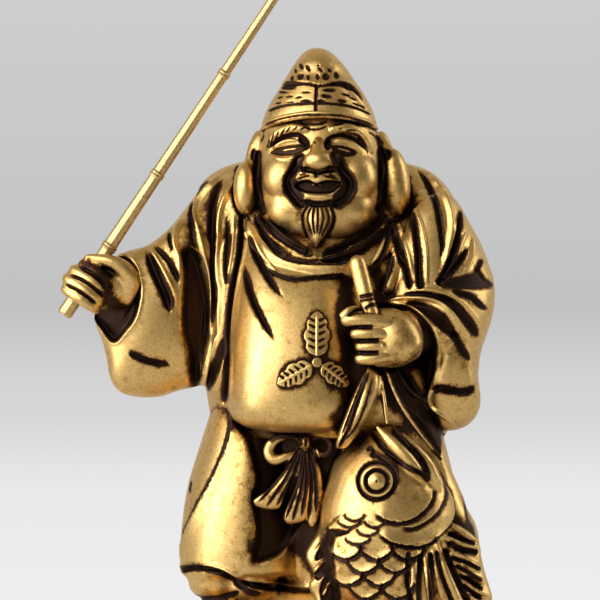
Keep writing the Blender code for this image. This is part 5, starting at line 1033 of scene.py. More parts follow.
def fish_forms():
    body = pebble([(4.0, 51.0), (8, 55), (12.5, 57.2), (16.5, 56.5), (20, 53.5), (24.0, 49.8), (27.6, 44.5),
                   (30.0, 39.3), (30.6, 34.5), (29.6, 30.5), (28.0, 22.5), (26.5, 15), (23.8, 9.5),
                   (18.8, 6.3), (12.5, 6.3), (5, 8.8), (0, 13.3), (-3, 18.8), (-3.6, 25), (-3.0, 32.5),
                   (-2.5, 37.5), (-0.8, 43.0), (1.2, 48.0)], -15.0, 18.3, 14.0, full=0.85,
                  centre=(13.0, 32.0))
    tail = pebble([(10, 10.5), (5, 2.5), (3.8, -1), (13.8, 0), (22.5, -0.5), (31.3, -1), (27.5, 4.5),
                   (21.3, 10.5)], -19.0, 6.0, 6.0, full=0.6, centre=(16.0, 4.0))
    jaws = [
        limb([(11.5, -27.5, 56.2), (15.5, -29.5, 52.0), (19.6, -30.0, 47.6), (23.6, -28.5, 43.2)],
             [0.6, 1.6, 1.7, 0.9]),
        limb([(15.8, -25.5, 56.0), (20.6, -27.5, 51.0), (24.6, -27.0, 46.0), (26.4, -25.5, 41.0)],
             [0.6, 1.3, 1.5, 1.0]),
    ]
    eye = [ball((11.4, -31.3, 42.75), (4.1, 2.6, 4.1)), ball((11.4, -32.2, 42.75), (2.5, 2.2, 2.5))]
    spines = pebble([(-0.8, 33.0), (-2.2, 31.0), (-5.6, 26.0), (-6.0, 23.6), (-4.6, 20.6), (-4.2, 18.8),
                     (-5.4, 16.5), (-3.6, 12.5), (-4, 9.5), (-1.5, 6.3), (2.5, 12.5), (2.5, 22.5),
                     (2.0, 30.0)], -19.5, 3.4, 4.0, full=0.5, centre=(-1.5, 19.0))
    fins = pebble([(26.8, 30), (30.5, 32.5), (36.8, 27.5), (37.8, 20.8), (40.3, 14), (39.3, 11.8), (35, 10),
                   (30, 11.5), (25.5, 20.5)], -16.0, 4.5, 5.0, full=0.5, centre=(32.0, 20.0),
                  tilt=(0.35, 0.0))
    blades = [
        limb([(20.8, -30.2, 26.2), (20.4, -32.0, 20), (22.0, -31.5, 11.0)], [0.7, 1.2, 1.2], flat=0.9),
        limb([(23.2, -29.6, 26.2), (23.8, -31.2, 20), (25.0, -30.5, 11.0)], [0.6, 0.95, 1.0], flat=0.9),
        limb([(26.2, -27.4, 27.8), (28.6, -28.4, 20), (32.4, -26.5, 10.5)], [0.7, 1.2, 1.4], flat=0.9),
        limb([(25.2, -28.0, 26.0), (26.4, -29.2, 19), (29.0, -28.0, 10.5)], [0.6, 0.9, 1.0], flat=0.9),
        limb([(27.6, -23.5, 29.2), (31.5, -22.5, 27.2), (36.4, -19.5, 26.2)], [0.7, 0.9, 0.7], flat=0.9),
        limb([(29.8, -20.5, 32.0), (33.5, -19.5, 29.2), (36.6, -18.0, 27.6)], [0.6, 0.85, 0.6], flat=0.9),
        limb([(29.0, -22.0, 26.5), (33.0, -21.0, 23.5), (37.2, -18.5, 21.0)], [0.5, 0.7, 0.6], flat=0.9),
        limb([(29.2, -22.0, 24.0), (33.2, -21.0, 20.5), (38.0, -18.5, 17.5)], [0.5, 0.7, 0.6], flat=0.9),
        limb([(29.6, -22.0, 21.0), (33.8, -21.0, 17.0), (39.2, -18.5, 14.0)], [0.5, 0.7, 0.6], flat=0.9),
        limb([(30.4, -22.0, 17.5), (34.4, -21.0, 13.8), (38.6, -19.0, 11.8)], [0.5, 0.7, 0.6], flat=0.9),
    ]
    return [body, tail, *jaws, *eye, spines, fins, *blades]


def scale_arc(x, z, half, deep):
    return [(x - half, z + 0.62 * deep), (x - 0.72 * half, z), (x, z - 0.38 * deep), (x + 0.72 * half, z),
            (x + half, z + 0.62 * deep)]


def fish_strokes():
    eye = (11.4, 42.8)
    strokes = [
        groove(circle(eye, 4.5), 0.5, 0.9, fade=(0.001, 0.001), ink=1.2),
        ridge(circle(eye, 3.6), 0.6, 0.35, fade=(0.001, 0.001), polish=0.5),
        groove(circle(eye, 2.7), 0.42, 1.0, fade=(0.001, 0.001), ink=1.2),
        swell(eye, (0.42, 0.42), -0.4, ink=1.0),
        groove([(11.0, 49.5), (13.8, 47.8), (15.9, 45.5), (16.6, 42.8), (16.2, 40.5)], 0.6, 0.5,
               fade=(0.15, 0.5), ink=1.0),
        groove([(9.0, 50.2), (10.0, 51.0), (10.7, 50.0), (10.2, 48.5)], 0.4, 0.5, fade=(0.1, 0.1), ink=1.1),
        stain([(8.5, 49.5), (11.5, 50.0), (13.5, 48.5), (11.5, 48.0)], 0.6, 0.7),
        stain([(21.0, 41.5), (23.5, 42.0), (24.0, 39.0), (22.0, 37.5), (20.5, 39.0)], 1.0, 0.22),
        lap([(11.2, 34.8), (13.5, 33.5), (16.0, 32.9), (19.2, 33.2), (22.5, 35.2), (24.7, 38.0),
             (25.2, 40.8)], 0.6, 3.2, drop=1.15, fade=(0.12, 0.15), ink=1.2),
        lap([(17.2, 31.4), (19.5, 31.4), (21.8, 32.0), (25.5, 34.5), (27.6, 38.0), (27.7, 41.5),
             (26.8, 45.0)], 0.55, 2.6, drop=1.15, fade=(0.25, 0.15), ink=1.2),
        lap([(12.0, 29.9), (15.0, 27.9), (19.2, 27.0), (23.2, 27.2), (27.0, 29.8), (30.0, 33.7),
             (30.5, 37.5), (29.2, 41.0)], 0.9, 3.4, drop=0.9, fade=(0.1, 0.15), ink=1.2),
        groove([(10.0, 54.8), (13.2, 50.8), (16.2, 48.1), (19.2, 46.2), (22.5, 44.5), (24.4, 42.2)], 0.5,
               0.9, fade=(0.1, 0.1), ink=1.2),
        groove([(15.2, 56.0), (18.2, 52.5), (21.2, 49.6), (23.0, 46.8), (24.6, 42.5)], 0.68, 1.0,
               fade=(0.1, 0.15), ink=1.2),
        groove([(2.8, 34.8), (-0.3, 31.8), (-2.0, 28.2), (-4.2, 25.2)], 0.3, 0.3, fade=(0.2, 0.2), ink=0.3),
        hollow([(-0.3, 30.5), (4.2, 30.2), (1.2, 28.8), (0.8, 25.5), (1.0, 22.0), (1.8, 18.0), (2.8, 11.0),
                (-1.0, 11.5), (-2.5, 15.5), (-1.5, 19.0), (-3.0, 18.2), (-4.0, 20.0), (-1.8, 23.5),
                (-3.5, 23.2), (-2.5, 26.2)], 1.0, 0.35, ink=1.15),
    ]
    rows = [(354, 514.5, 2.4), (374, 521, 2.3), (349, 520.5, 2.8), (339, 527.5, 2.8), (367, 529, 2.5),
            (357, 537.6, 3.0)]
    for x, y, half in rows:
        strokes.append(lap(scale_arc((x - 330) / 4, (650 - y) / 4, half, 1.7), 0.45, 1.6, drop=0.75,
                           fade=(0.15, 0.15), ink=1.15))
    for row in range(9):
        y = 549.5 + 12.6 * row
        for column in range(4):
            x = 345 + 31 * column + (-14 if row % 2 else 0) + 1.2 * row
            left, right = 338 + 0.4 * row, 408 - 0.4 * row
            if x < left or x > right:
                continue
            strokes.append(lap(scale_arc((x - 330) / 4, (650 - y) / 4, 4.0, 3.6), 0.7, 2.9, drop=1.1,
                               fade=(0.1, 0.1), ink=1.15, polish=0.5, shade=0.42))
    for top, low in (((-1.2, 23.2), (-4.0, 19.8)), ((0.2, 18.0), (-2.0, 14.0)), ((0.8, 12.5), (-1.5, 9.5))):
        strokes.append(ridge([low, ((top[0] + low[0]) / 2, (top[1] + low[1]) / 2), top], 0.6, 0.9,
                             fade=(0.2, 0.2), polish=1.3))
    for gap_line, wide in ((((19.2, 25.5), (19.2, 18.8), (20.0, 11.5)), 0.6),
                           (((22.4, 25.2), (21.8, 18.8), (21.9, 12.0)), 0.5),
                           (((24.7, 25.2), (24.8, 19.5), (25.2, 11.5)), 0.6),
                           (((26.2, 25.8), (27.5, 19.5), (30.5, 12.0)), 0.42),
                           (((28.0, 26.0), (30.5, 20.0), (34.5, 12.0)), 0.65),
                           (((29.0, 27.5), (32.5, 25.8), (36.8, 24.8)), 0.6),
                           (((29.2, 29.8), (32.8, 28.0), (36.0, 27.0)), 0.4),
                           (((29.8, 23.8), (33.5, 22.5), (37.5, 20.5)), 0.4),
                           (((31.0, 21.8), (34.2, 20.0), (37.8, 17.8)), 0.4),
                           (((31.8, 19.5), (34.8, 17.5), (37.8, 15.5)), 0.4),
                           (((32.5, 17.0), (35.0, 15.2), (37.5, 13.2)), 0.4)):
        strokes.append(groove(gap_line, wide, 0.9, fade=(0.08, 0.08), ink=1.15))
    for step in range(-3, 4):
        strokes.append(groove([(16 + 1.3 * step, 9), (17 + 2.3 * step, 4), (18 + 3.6 * step, -0.5)], 0.6,
                              0.7))
    return strokes


def leg_forms():
    rod_leg = ring_stack([(19.0, -21.9, -4, 15.6, 16.5), (27, -22, -4, 15.4, 17.2),
                          (40, -21.6, -4, 14.2, 17), (52, -20.5, -3, 11.8, 16), (62, -19, -2, 10, 14)])
    fish_leg = ring_stack([(18.0, 21.3, -2, 16.6, 16.5), (30, 21, -2, 15.9, 17), (37, 19, -2, 14.4, 17),
                           (44, 17.6, -2, 13.2, 17), (54, 17.0, -2, 11.2, 16), (62, 15, -1, 10, 14)])
    middle = ring_stack([(15, 0, 2, 12, 17), (30, -1, 2, 14, 19), (45, -1, 2, 18, 20), (60, 0, 1, 22, 20)])
    train = ring_stack([(-1.5, 0, 9, 22, 11), (12, 0, 9, 21.5, 11.5), (28, 0, 8, 24, 13),
                        (44, 0, 6, 27, 16), (57, 0, 4, 28, 18)])
    puffs = [
        ball((-28.3, -5.0, 16.8), (7.1, 11.5, 4.4)),
        ball((-19.5, -8.0, 15.8), (6.5, 11.0, 3.6)),
        ball((21.0, -5.0, 16.5), (12.0, 11.0, 4.6)),
    ]
    shins = [limb([(-26.3, -6, 17), (-26.0, -6, 3)], [5.4, 5.4]),
             limb([(23.0, -4, 17), (23.0, -4, 3)], [5.4, 5.4])]
    feet = [ball((-27.0, -14.0, 2.0), (6.2, 12.5, 4.4)), ball((25.5, -12.5, 2.0), (6.2, 12.5, 4.4))]
    return [rod_leg, fish_leg, middle, train, *puffs, *shins, *feet]


def leg_strokes():
    strokes = [
        lap([(-23.0, 59.0), (-25.2, 52.0), (-28.8, 43.5), (-33.0, 36.0), (-36.5, 28.0), (-37.5, 22.0)], 0.8,
            3.2, drop=0.8, fade=(0.05, 0.1), ink=1.05),
        groove([(-24.8, 59.0), (-25.9, 52.5), (-29.2, 44.0), (-33.5, 36.2)], 0.42, 0.5, fade=(0.05, 0.3),
               ink=0.95),
        stain([(-23.5, 57.0), (-20.8, 52.5), (-18.8, 47.0), (-18.0, 42.5), (-19.5, 38.0), (-18.2, 32.0),
               (-18.2, 27.5), (-20.0, 23.0), (-23.0, 23.5), (-21.8, 32.5), (-23.0, 42.5), (-22.8, 50.0)],
              2.6, 0.2),
        stain([(-21.0, 27.2), (-19.5, 28.0), (-18.2, 26.0), (-20.0, 24.5)], 0.7, 0.5),
        hollow([(-22.2, 58.5), (-20.5, 53.5), (-18.8, 47.2), (-17.8, 42.8), (-19.0, 38.2), (-18.0, 32.2),
                (-18.0, 27.5), (-19.2, 22.8), (-16.0, 23.2), (-12.0, 25.2), (-8.5, 31.5), (-2.0, 40.0),
                (2.0, 50.0), (1.5, 57.5)], 3.0, 0.9, ink=1.2),
        stain([(-21.0, 55.0), (-19.5, 50.0), (-18.8, 44.0), (-20.0, 38.5), (-19.0, 31.5), (-20.0, 25.5),
               (-17.0, 27.5), (-17.0, 50.0)], 1.2, 0.45),
        groove([(-37.5, 20.0), (-34.5, 20.9), (-30.8, 20.8), (-27.2, 19.9), (-23.0, 18.1), (-17.5, 16.5),
                (-11.2, 15.5), (-4.5, 15.0)], 0.75, 1.9, fade=(0.04, 0.04), ink=1.2, lean=-0.1),
        ridge([(-38.0, 20.9), (-34.5, 21.6), (-30.8, 21.6), (-27.2, 21.0), (-23.0, 19.2), (-17.5, 17.6),
               (-11.2, 16.8), (-4.5, 16.2)], 0.6, 0.7, fade=(0.04, 0.04), polish=0.6),
        groove([(-24.0, 18.0), (-22.5, 16.5), (-20.0, 15.0), (-17.0, 14.5)], 0.6, 1.0, fade=(0.1, 0.3),
               ink=1.1),
        groove([(-36.8, 14.5), (-32.5, 13.1), (-27.0, 13.5), (-22.5, 15.0)], 0.6, 1.2, fade=(0.1, 0.1),
               ink=1.1),
        ridge([(-17.8, 22.0), (-15.0, 22.8), (-12.0, 24.8), (-10.0, 27.5)], 0.7, 0.7),
        stain([(-11.0, 26.2), (-7.5, 23.5), (-4.5, 18.8), (-2.5, 16.0), (0.0, 22.5), (0.0, 32.5),
               (-3.0, 37.5), (-7.5, 32.5)], 1.0, 1.0),
        stain([(-27.0, 62.0), (-23.5, 61.5), (-22.5, 59.0), (-24.5, 57.5), (-26.5, 59.0)], 1.2, 0.6),
        groove([(-34.5, 42.5), (-34.8, 41.0), (-35.0, 39.5)], 0.25, 0.3, ink=1.0),
    ]
    for step in range(5):
        x = -31 + 2.6 * step
        strokes.append(groove([(x, 13.5), (x + 0.5, 9.0), (x + 0.8, 6.0)], 0.6, 0.7, ink=0.9))
        strokes.append(groove([(x + 49.5, 12.5), (x + 49.5, 9.0), (x + 49.0, 6.0)], 0.6, 0.7, ink=0.9))
    return strokes


def sash_forms():
    knot = ball((-6.5, -20.8, 52.3), (1.9, 2.2, 1.9))
    loops = [
        limb([(-7, -19.5, 52.3), (-9.6, -20.8, 53.6), (-12.6, -20.8, 53.4), (-14.8, -20.2, 51.6),
              (-15.2, -20.0, 49.4), (-13.8, -20.4, 47.8), (-10.8, -20.5, 48.8), (-7.5, -19.5, 51)],
             [0.7, 0.9, 1.1, 1.3, 1.45, 1.35, 1.0, 0.6]),
        limb([(-5.5, -19.5, 52.3), (-3, -20.5, 53.7), (-0.8, -20, 53.0), (0.2, -20, 50.8),
              (-1.4, -20, 49.0), (-4.2, -19.5, 50.5)], [0.7, 0.9, 1.0, 1.0, 0.9, 0.7]),
    ]
    tails = [
        pebble([(-7.5, 51), (-11.3, 45.5), (-15.5, 40.5), (-19.6, 37.4), (-17, 35.7), (-13, 35.6),
                (-11.6, 37.8), (-9.3, 43), (-6.3, 50)], -19.2, 2.2, 3.0, full=0.5),
        pebble([(-6.8, 50.5), (-8.3, 42.5), (-11.2, 35), (-11.4, 32.6), (-9.2, 31.9), (-5.8, 33.8),
                (-5.3, 42.5), (-5.5, 50)], -19.2, 2.4, 3.0, full=0.5),
        pebble([(-5.5, 50.5), (-4.8, 42.5), (-5.5, 32.0), (-3.3, 32), (-1.5, 40), (-3, 47.5)], -18.7, 2.0,
               3.0, full=0.5),
    ]
    return [knot, *loops, *tails]


def sash_strokes():
    strokes = []
    for top, low in (((-7.5, 51.0), (-18.0, 37.0)), ((-7.2, 50.8), (-16.0, 36.0)),
                     ((-6.8, 50.5), (-13.5, 36.2)), ((-6.5, 50.2), (-11.2, 32.8)),
                     ((-6.0, 50.2), (-9.5, 32.2)), ((-5.8, 50.2), (-7.2, 33.5)),
                     ((-5.2, 51.0), (-5.5, 32.5)), ((-5.0, 51.0), (-3.5, 34.5))):
        strokes.append(groove([top, ((top[0] + low[0]) / 2 + 0.7, (top[1] + low[1]) / 2), low], 0.36, 0.6,
                              fade=(0.05, 0.2), ink=1.1))
    strokes.append(groove([(-7.8, 53.5), (-7.2, 52.2), (-7.5, 51.0)], 0.28, 0.4, ink=1.0))
    strokes.append(groove([(-6.0, 53.5), (-6.0, 52.2), (-6.2, 51.0)], 0.28, 0.4, ink=1.0))
    strokes.append(stain([(-15.5, 53.5), (-13.5, 55.0), (-8.0, 55.0), (-7.0, 53.0), (-8.0, 51.0),
                          (-10.0, 49.5), (-11.5, 50.0), (-10.0, 52.0), (-12.5, 53.0), (-14.5, 52.0)], 0.4,
                         0.85))
    strokes.append(stain([(-4.8, 55.0), (1.5, 55.5), (2.0, 45.0), (-3.0, 46.5), (-4.8, 50.0)], 0.4, 0.75))
    strokes.append(ridge([(-4.2, 52.5), (-3.0, 49.5), (-2.0, 46.5)], 0.3, 0.3, fade=(0.2, 0.3), polish=0.6))
    return strokes


# Building


def robe_strokes():
    return cloth_strokes() + crest_strokes()


PLAN = (
    # name, soft forms, fine forms, front strokes, back strokes, voxel in mm, rounding, most triangles
    ("figure_head", head_forms, face_forms, head_strokes, None, 0.2, 18, 165000),
    ("figure_teeth", teeth, None, None, None, 0.15, 1, 4000),
    ("figure_cap", cap_forms, rim_forms, cap_strokes, None, 0.2, 4, 90000),
    ("figure_robe", robe_forms, collar_forms, robe_strokes, back_strokes, 0.34, 6, 194000),
    ("figure_rod_hand", rod_hand_forms, None, rod_hand_strokes, None, 0.22, 1, 50000),
    ("figure_fish_hand", fish_hand_forms, finger_forms, fish_hand_strokes, None, 0.22, 2, 50000),
    ("figure_bamboo_end", stem_forms, None, stem_strokes, None, 0.22, 1, 12000),
    ("figure_leaves", leaf_forms, None, leaf_strokes, None, 0.22, 1, 40000),
    ("figure_inner_robe", back_cloth_forms, None, back_cloth_strokes, None, 0.4, 3, 36000),
    ("figure_bream", fish_forms, None, fish_strokes, None, 0.26, 1, 160000),
    ("figure_legs", leg_forms, None, leg_strokes, back_strokes, 0.42, 5, 90000),
    ("figure_sash", sash_forms, None, sash_strokes, None, 0.22, 1, 36000),
)


def thin_out(obj, most):
    """Drops the faces that flat areas can spare, until the piece has at most so many triangles."""
    count = sum(len(face.vertices) - 2 for face in obj.data.polygons)
    if count > most:
        finish_modifier(obj, "DECIMATE", ratio=most / count)


def set_on_plinth(obj):
    obj.data.transform(Matrix.Translation((0, 0, PLINTH_HEIGHT)))
    alone(obj)
    bpy.ops.object.shade_smooth()


def make_plinth():
    """A low oval plate: a cylinder squared off a little, its upper edge bevelled."""
    bpy.ops.object.select_all(action="DESELECT")
    bpy.ops.mesh.primitive_cylinder_add(vertices=160, radius=1.0, depth=PLINTH_HEIGHT - PLINTH_INSET,
                                        location=(0, 0, PLINTH_HEIGHT / 2), end_fill_type="NGON")
    obj = bpy.context.active_object
    obj.name = obj.data.name = "figure_plinth"
    alone(obj)
    bpy.ops.object.transform_apply(location=True, rotation=True, scale=True)
    for vertex in obj.data.vertices:
        x, y = vertex.co.x, vertex.co.y
        vertex.co.x = math.copysign(abs(x) ** 0.8, x) * (PLINTH_WIDTH / 2 - PLINTH_INSET)
        vertex.co.y = math.copysign(abs(y) ** 0.8, y) * (PLINTH_DEPTH / 2 - PLINTH_INSET)
    finish_modifier(obj, "BEVEL", width=0.0011, segments=5, limit_method="ANGLE",
                    angle_limit=math.radians(60))
    finish_modifier(obj, "REMESH", mode="VOXEL", voxel_size=0.0005 * COARSER, adaptivity=0.0)
    finish_modifier(obj, "SMOOTH", factor=0.5, iterations=2)
    thin_out(obj, PLINTH_FACES)
    obj.data.attributes.new("patina", "FLOAT", "POINT")
    alone(obj)
    bpy.ops.object.shade_smooth()
    return obj


pieces = []
for name, soft, fine, front, back, voxel, rounding, most in PLAN:
    block = carving_block(name, soft(), fine() if fine else (), voxel, rounding)
    carve(block, front() if front else (), back() if back else ())
    thin_out(block, most)
    if name == "figure_robe":
        pieces.append(make_crest(block))
    pieces.append(block)
for piece in pieces:
    set_on_plinth(piece)
pieces.append(make_plinth())


def tarnish(pieces, reach=6.5 * MM, cell=0.9 * MM):
    """Darkens each point by how much metal stands close round it, where a polishing cloth can't reach."""
    corners, faces, start = [], [], 0
    for obj in pieces:
        mesh = obj.data
        corners += read_rows(mesh.vertices, "co").tolist()
        faces += [[start + v for v in face.vertices] for face in mesh.polygons]
        start += len(mesh.vertices)
    cast = BVHTree.FromPolygons(corners, faces).ray_cast
    rays = 20
    high = np.sqrt(1 - (np.arange(rays) + 0.5) / rays * 0.96)
    flat = np.sqrt(1 - high**2)
    turn = math.pi * (3 - math.sqrt(5)) * np.arange(rays)
    for obj in pieces:
        mesh = obj.data
        spots = read_rows(mesh.vertices, "co").astype(float)
        ways = read_rows(mesh.vertex_normals, "vector").astype(float)
        keys = np.column_stack([np.floor(spots / cell), np.round(ways * 1.3)]).astype(np.int64)
        _, chosen, group = np.unique(keys, axis=0, return_index=True, return_inverse=True)
        group = group.ravel()
        spot, way = spots[chosen], ways[chosen]
        helper = np.where(abs(way[:, 2:3]) < 0.9, (0.0, 0.0, 1.0), (1.0, 0.0, 0.0))
        side = np.cross(way, helper)
        side /= np.linalg.norm(side, axis=1)[:, None]
        other = np.cross(way, side)
        begin = (spot + way * 0.25 * MM).tolist()
        closed = np.zeros(len(spot))
        for k in range(rays):
            aim = way * high[k] + flat[k] * (side * math.cos(turn[k]) + other * math.sin(turn[k]))
            hit = [cast(p, d, reach)[3] for p, d in zip(begin, aim.tolist())]
            closed += np.array([0.0 if h is None else 1 - h / reach for h in hit])
        closed = (closed / rays)[group]
        edges = np.empty(len(mesh.edges) * 2, np.int32)
        mesh.edges.foreach_get("vertices", edges)
        near, far = edges.reshape(-1, 2).T
        ends = np.concatenate([near, far])
        others = np.concatenate([far, near])
        share = np.bincount(ends, minlength=len(closed)) + 1
        for _ in range(6):
            closed = (closed + np.bincount(ends, closed[others], len(closed))) / share
        store = mesh.attributes["patina"].data
        ink = np.empty(len(closed), np.float32)
        store.foreach_get("value", ink)
        total = np.clip(1.9 * (closed - 0.1), 0, 1) + np.clip(ink, -0.6, 1.3)
        store.foreach_set("value", np.clip(total, -0.3, 1.4).astype(np.float32))


tarnish(pieces)


# Finishes


def socket(group, kind, label, into, value=None):
    made = group.interface.new_socket(name=label, in_out="INPUT" if into else "OUTPUT", socket_type=kind)
    if value is not None:
        made.default_value = value
    return made


def build_wiped_patina():
    """Patina left by the polisher's cloth: satin gold, a red-brown speckle at the edge, then near black."""
    group = bpy.data.node_groups.new("wiped_patina", "ShaderNodeTree")
    socket(group, "NodeSocketFloat", "Patina", True, 0.0)
    socket(group, "NodeSocketFloat", "Speckle", True, 0.3)
    socket(group, "NodeSocketColor", "Gold", True, (0.8, 0.6, 0.3, 1))
    socket(group, "NodeSocketColor", "Colour", False)
    socket(group, "NodeSocketFloat", "Roughness", False)
    socket(group, "NodeSocketFloat", "Grain", False)
    nodes, links = group.nodes, group.links
    given = nodes.new("NodeGroupInput")
    result = nodes.new("NodeGroupOutput")
    place = nodes.new("ShaderNodeTexCoord")

    def noise(scale, detail, rough=0.6):
        node = nodes.new("ShaderNodeTexNoise")
        node.inputs["Scale"].default_value = scale
        node.inputs["Detail"].default_value = detail
        node.inputs["Roughness"].default_value = rough
        links.new(place.outputs["Object"], node.inputs["Vector"])
        return node.outputs["Fac"]

    def math_node(kind, a, b=None, c=None):
        node = nodes.new("ShaderNodeMath")
        node.operation = kind
        for port, value in zip(node.inputs, (a, b, c)):
            if value is None:
                continue
            if isinstance(value, (int, float)):
                port.default_value = value
            else:
                links.new(value, port)
        return node.outputs[0]

    def blend(fac, a, b):
        node = nodes.new("ShaderNodeMix")
        node.data_type = "RGBA"
        links.new(fac, node.inputs["Factor"])
        for port, value in ((node.inputs[6], a), (node.inputs[7], b)):
            if isinstance(value, tuple):
                port.default_value = value
            else:
                links.new(value, port)
        return node.outputs[2]

    def step(value, low, high):
        node = nodes.new("ShaderNodeMapRange")
        node.interpolation_type = "SMOOTHSTEP"
        node.inputs["From Min"].default_value = low
        node.inputs["From Max"].default_value = high
        links.new(value, node.inputs["Value"])
        return node.outputs["Result"]

    fine = noise(2300, 4, 0.75)
    coarse = noise(520, 5, 0.65)
    wide = noise(60, 3, 0.5)
    scatter = math_node("MULTIPLY_ADD", math_node("SUBTRACT", coarse, 0.5), 0.9,
                        math_node("SUBTRACT", fine, 0.5))
    amount = math_node("MULTIPLY_ADD", scatter, given.outputs["Speckle"], given.outputs["Patina"])
    amount = math_node("MULTIPLY_ADD", math_node("SUBTRACT", wide, 0.5), 0.2, amount)
    sand = blend(step(fine, 0.36, 0.70), given.outputs["Gold"], (0.93, 0.67, 0.30, 1))
    honey = blend(step(amount, 0.06, 0.36), sand, (0.40, 0.225, 0.055, 1))
    russet = blend(step(amount, 0.36, 0.56), honey, (0.12, 0.044, 0.019, 1))
    dark = blend(step(amount, 0.52, 0.80), russet, (0.034, 0.019, 0.013, 1))
    links.new(dark, result.inputs["Colour"])
    links.new(math_node("MULTIPLY_ADD", step(amount, 0.3, 0.7), 0.10,
                        math_node("MULTIPLY_ADD", coarse, 0.16, 0.34)), result.inputs["Roughness"])
    links.new(math_node("MULTIPLY_ADD", coarse, 0.4, fine), result.inputs["Grain"])
    return group


WIPED_PATINA = build_wiped_patina()


def gilt_metal(name, gold, speckle, attribute=True, depth=0.00004):
    material = bpy.data.materials.new(name)
    material.use_nodes = True
    nodes, links = material.node_tree.nodes, material.node_tree.links
    shader = nodes["Principled BSDF"]
    finish = nodes.new("ShaderNodeGroup")
    finish.node_tree = WIPED_PATINA
    finish.inputs["Gold"].default_value = (*gold, 1)
    finish.inputs["Speckle"].default_value = speckle
    if attribute:
        read = nodes.new("ShaderNodeAttribute")
        read.attribute_name = "patina"
        links.new(read.outputs["Fac"], finish.inputs["Patina"])
    links.new(finish.outputs["Colour"], shader.inputs["Base Color"])
    links.new(finish.outputs["Roughness"], shader.inputs["Roughness"])
    shader.inputs["Metallic"].default_value = 1.0
    bump = nodes.new("ShaderNodeBump")
    bump.inputs["Strength"].default_value = 0.6
    bump.inputs["Distance"].default_value = depth
    links.new(finish.outputs["Grain"], bump.inputs["Height"])
    links.new(bump.outputs["Normal"], shader.inputs["Normal"])
    return material


satin_gold = gilt_metal("satin_gold_over_patina", (0.64, 0.402, 0.12), 1.4)
sandy_gold = gilt_metal("sandy_gold_rod", (0.52, 0.38, 0.19), 0.9, attribute=False, depth=0.00008)

for piece in pieces:
    piece.data.materials.clear()
    piece.data.materials.append(satin_gold)
    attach(piece, "root")
    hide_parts("figure")

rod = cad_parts["rod"]
for slot_of_rod in rod.material_slots:
    slot_of_rod.material = sandy_gold


# Studio


def make_floor():
    bpy.ops.object.select_all(action="DESELECT")
    bpy.ops.mesh.primitive_circle_add(vertices=96, radius=0.45, fill_type="NGON", location=(0, 0, -0.0002))
    floor = bpy.context.active_object
    floor.name = "floor"
    material = bpy.data.materials.new("pale_floor")
    material.use_nodes = True
    nodes, links = material.node_tree.nodes, material.node_tree.links
    shader = nodes["Principled BSDF"]
    shader.inputs["Base Color"].default_value = (0.82, 0.82, 0.84, 1)
    shader.inputs["Roughness"].default_value = 0.9
    place = nodes.new("ShaderNodeTexCoord")
    length = nodes.new("ShaderNodeVectorMath")
    length.operation = "LENGTH"
    links.new(place.outputs["Object"], length.inputs[0])
    fade = nodes.new("ShaderNodeMapRange")
    fade.interpolation_type = "SMOOTHSTEP"
    fade.inputs["From Min"].default_value = 0.22
    fade.inputs["From Max"].default_value = 0.44
    fade.inputs["To Min"].default_value = 1
    fade.inputs["To Max"].default_value = 0
    links.new(length.outputs["Value"], fade.inputs["Value"])
    links.new(fade.outputs["Result"], shader.inputs["Alpha"])
    floor.data.materials.append(material)
    return floor


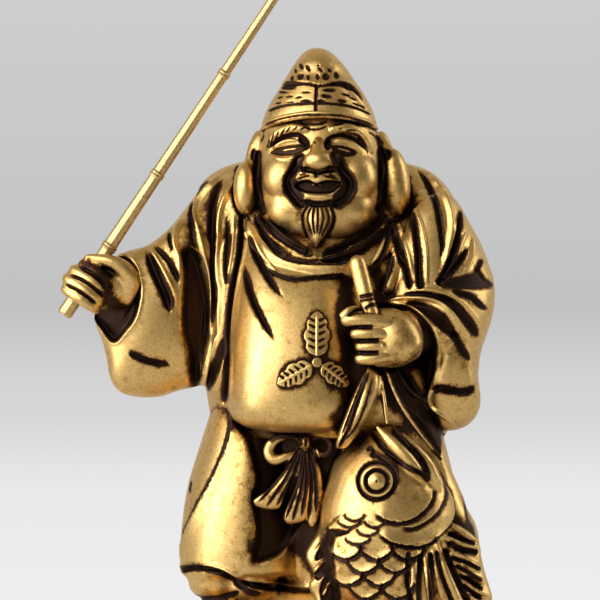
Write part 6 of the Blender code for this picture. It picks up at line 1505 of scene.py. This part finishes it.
def make_studio():
    """The backdrop seen by the camera, with its light and shade painted in by height, and the soft room that
    the metal mirrors.
    """
    world = bpy.data.worlds.new("studio")
    bpy.context.scene.world = world
    world.use_nodes = True
    nodes, links = world.node_tree.nodes, world.node_tree.links
    nodes.clear()
    out = nodes.new("ShaderNodeOutputWorld")
    mix = nodes.new("ShaderNodeMixShader")
    path = nodes.new("ShaderNodeLightPath")
    backdrop, room = nodes.new("ShaderNodeBackground"), nodes.new("ShaderNodeBackground")
    place = nodes.new("ShaderNodeTexCoord")
    split = nodes.new("ShaderNodeSeparateXYZ")
    links.new(place.outputs["Generated"], split.inputs[0])

    def ramp(value, low, high, stops):
        ranged = nodes.new("ShaderNodeMapRange")
        ranged.inputs["From Min"].default_value = low
        ranged.inputs["From Max"].default_value = high
        links.new(value, ranged.inputs["Value"])
        node = nodes.new("ShaderNodeValToRGB")
        node.color_ramp.interpolation = "EASE"
        for element, (position, level) in zip(node.color_ramp.elements, (stops[0], stops[-1])):
            element.position = position
            element.color = (level, level, level * 1.012, 1)
        for position, level in stops[1:-1]:
            node.color_ramp.elements.new(position).color = (level, level, level * 1.012, 1)
        links.new(ranged.outputs["Result"], node.inputs["Fac"])
        return node.outputs["Color"]

    def add(a, b):
        node = nodes.new("ShaderNodeMix")
        node.data_type = "RGBA"
        node.blend_type = "ADD"
        node.inputs["Factor"].default_value = 1.0
        links.new(a, node.inputs[6])
        links.new(b, node.inputs[7])
        return node.outputs[2]

    # painted light and shade on the backdrop: the camera sees it brightest low down, darkest at mid height
    # and a little lighter at the top
    links.new(ramp(split.outputs["Z"], -0.03, 0.03, [(0.0, 0.855), (0.07, 0.845), (0.167, 0.82),
                                                     (0.333, 0.668), (0.5, 0.542), (0.667, 0.567),
                                                     (0.833, 0.59), (1.0, 0.613)]),
              backdrop.inputs["Color"])
    # a white table below, a dim warm room in front, the bright paper behind
    height = ramp(split.outputs["Z"], -1, 1, [(0.0, 0.42), (0.32, 0.30), (0.47, 0.10), (0.6, 0.10),
                                              (0.8, 0.20), (1.0, 0.30)])
    behind = ramp(split.outputs["Y"], -1, 1, [(0.0, 0.0), (0.55, 0.0), (0.8, 0.30), (1.0, 0.55)])
    warm = nodes.new("ShaderNodeMix")
    warm.data_type = "RGBA"
    warm.blend_type = "MULTIPLY"
    warm.inputs["Factor"].default_value = 1.0
    warm.inputs[7].default_value = (1.0, 0.86, 0.62, 1)
    links.new(height, warm.inputs[6])
    links.new(add(warm.outputs[2], behind), room.inputs["Color"])
    backdrop.inputs["Strength"].default_value = 1.0
    room.inputs["Strength"].default_value = 1.0
    links.new(path.outputs["Is Camera Ray"], mix.inputs[0])
    links.new(room.outputs[0], mix.inputs[1])
    links.new(backdrop.outputs[0], mix.inputs[2])
    links.new(mix.outputs[0], out.inputs["Surface"])


def softbox(name, place, size, power, aim=(0, 0, 0.09), colour=(1, 1, 1)):
    bpy.ops.object.light_add(type="AREA", location=place)
    light = bpy.context.active_object
    light.name = name
    light.data.shape = "RECTANGLE"
    light.data.size, light.data.size_y = size
    light.data.energy = power
    light.data.color = colour
    way = Vector(aim) - Vector(place)
    light.rotation_mode = "QUATERNION"
    light.rotation_quaternion = way.to_track_quat("-Z", "Y")
    return light


def make_camera():
    data = bpy.data.cameras.new("camera")
    camera = bpy.data.objects.new("camera", data)
    bpy.context.scene.collection.objects.link(camera)
    distance, wide = 2.5, 0.150
    data.sensor_width = 36
    data.lens = 36 * distance / wide
    data.clip_start, data.clip_end = 0.05, 50
    camera.location = (-0.0075, -distance, PLINTH_HEIGHT + 0.0875)
    camera.rotation_euler = (math.radians(90), 0, 0)
    bpy.context.scene.camera = camera
    return camera


make_floor()
make_studio()
softbox("key_softbox", (-0.95, -1.0, 0.7), (1.5, 1.2), 20.0)
softbox("front_softbox", (-0.4, -1.5, 0.5), (0.5, 0.5), 2.5)
softbox("left_softbox", (-1.25, -0.5, 0.15), (0.8, 1.1), 12.0)
softbox("edge_softbox", (0.95, 0.15, 0.45), (0.2, 0.8), 3.0)
make_camera()
bpy.context.scene.view_settings.view_transform = "Standard"
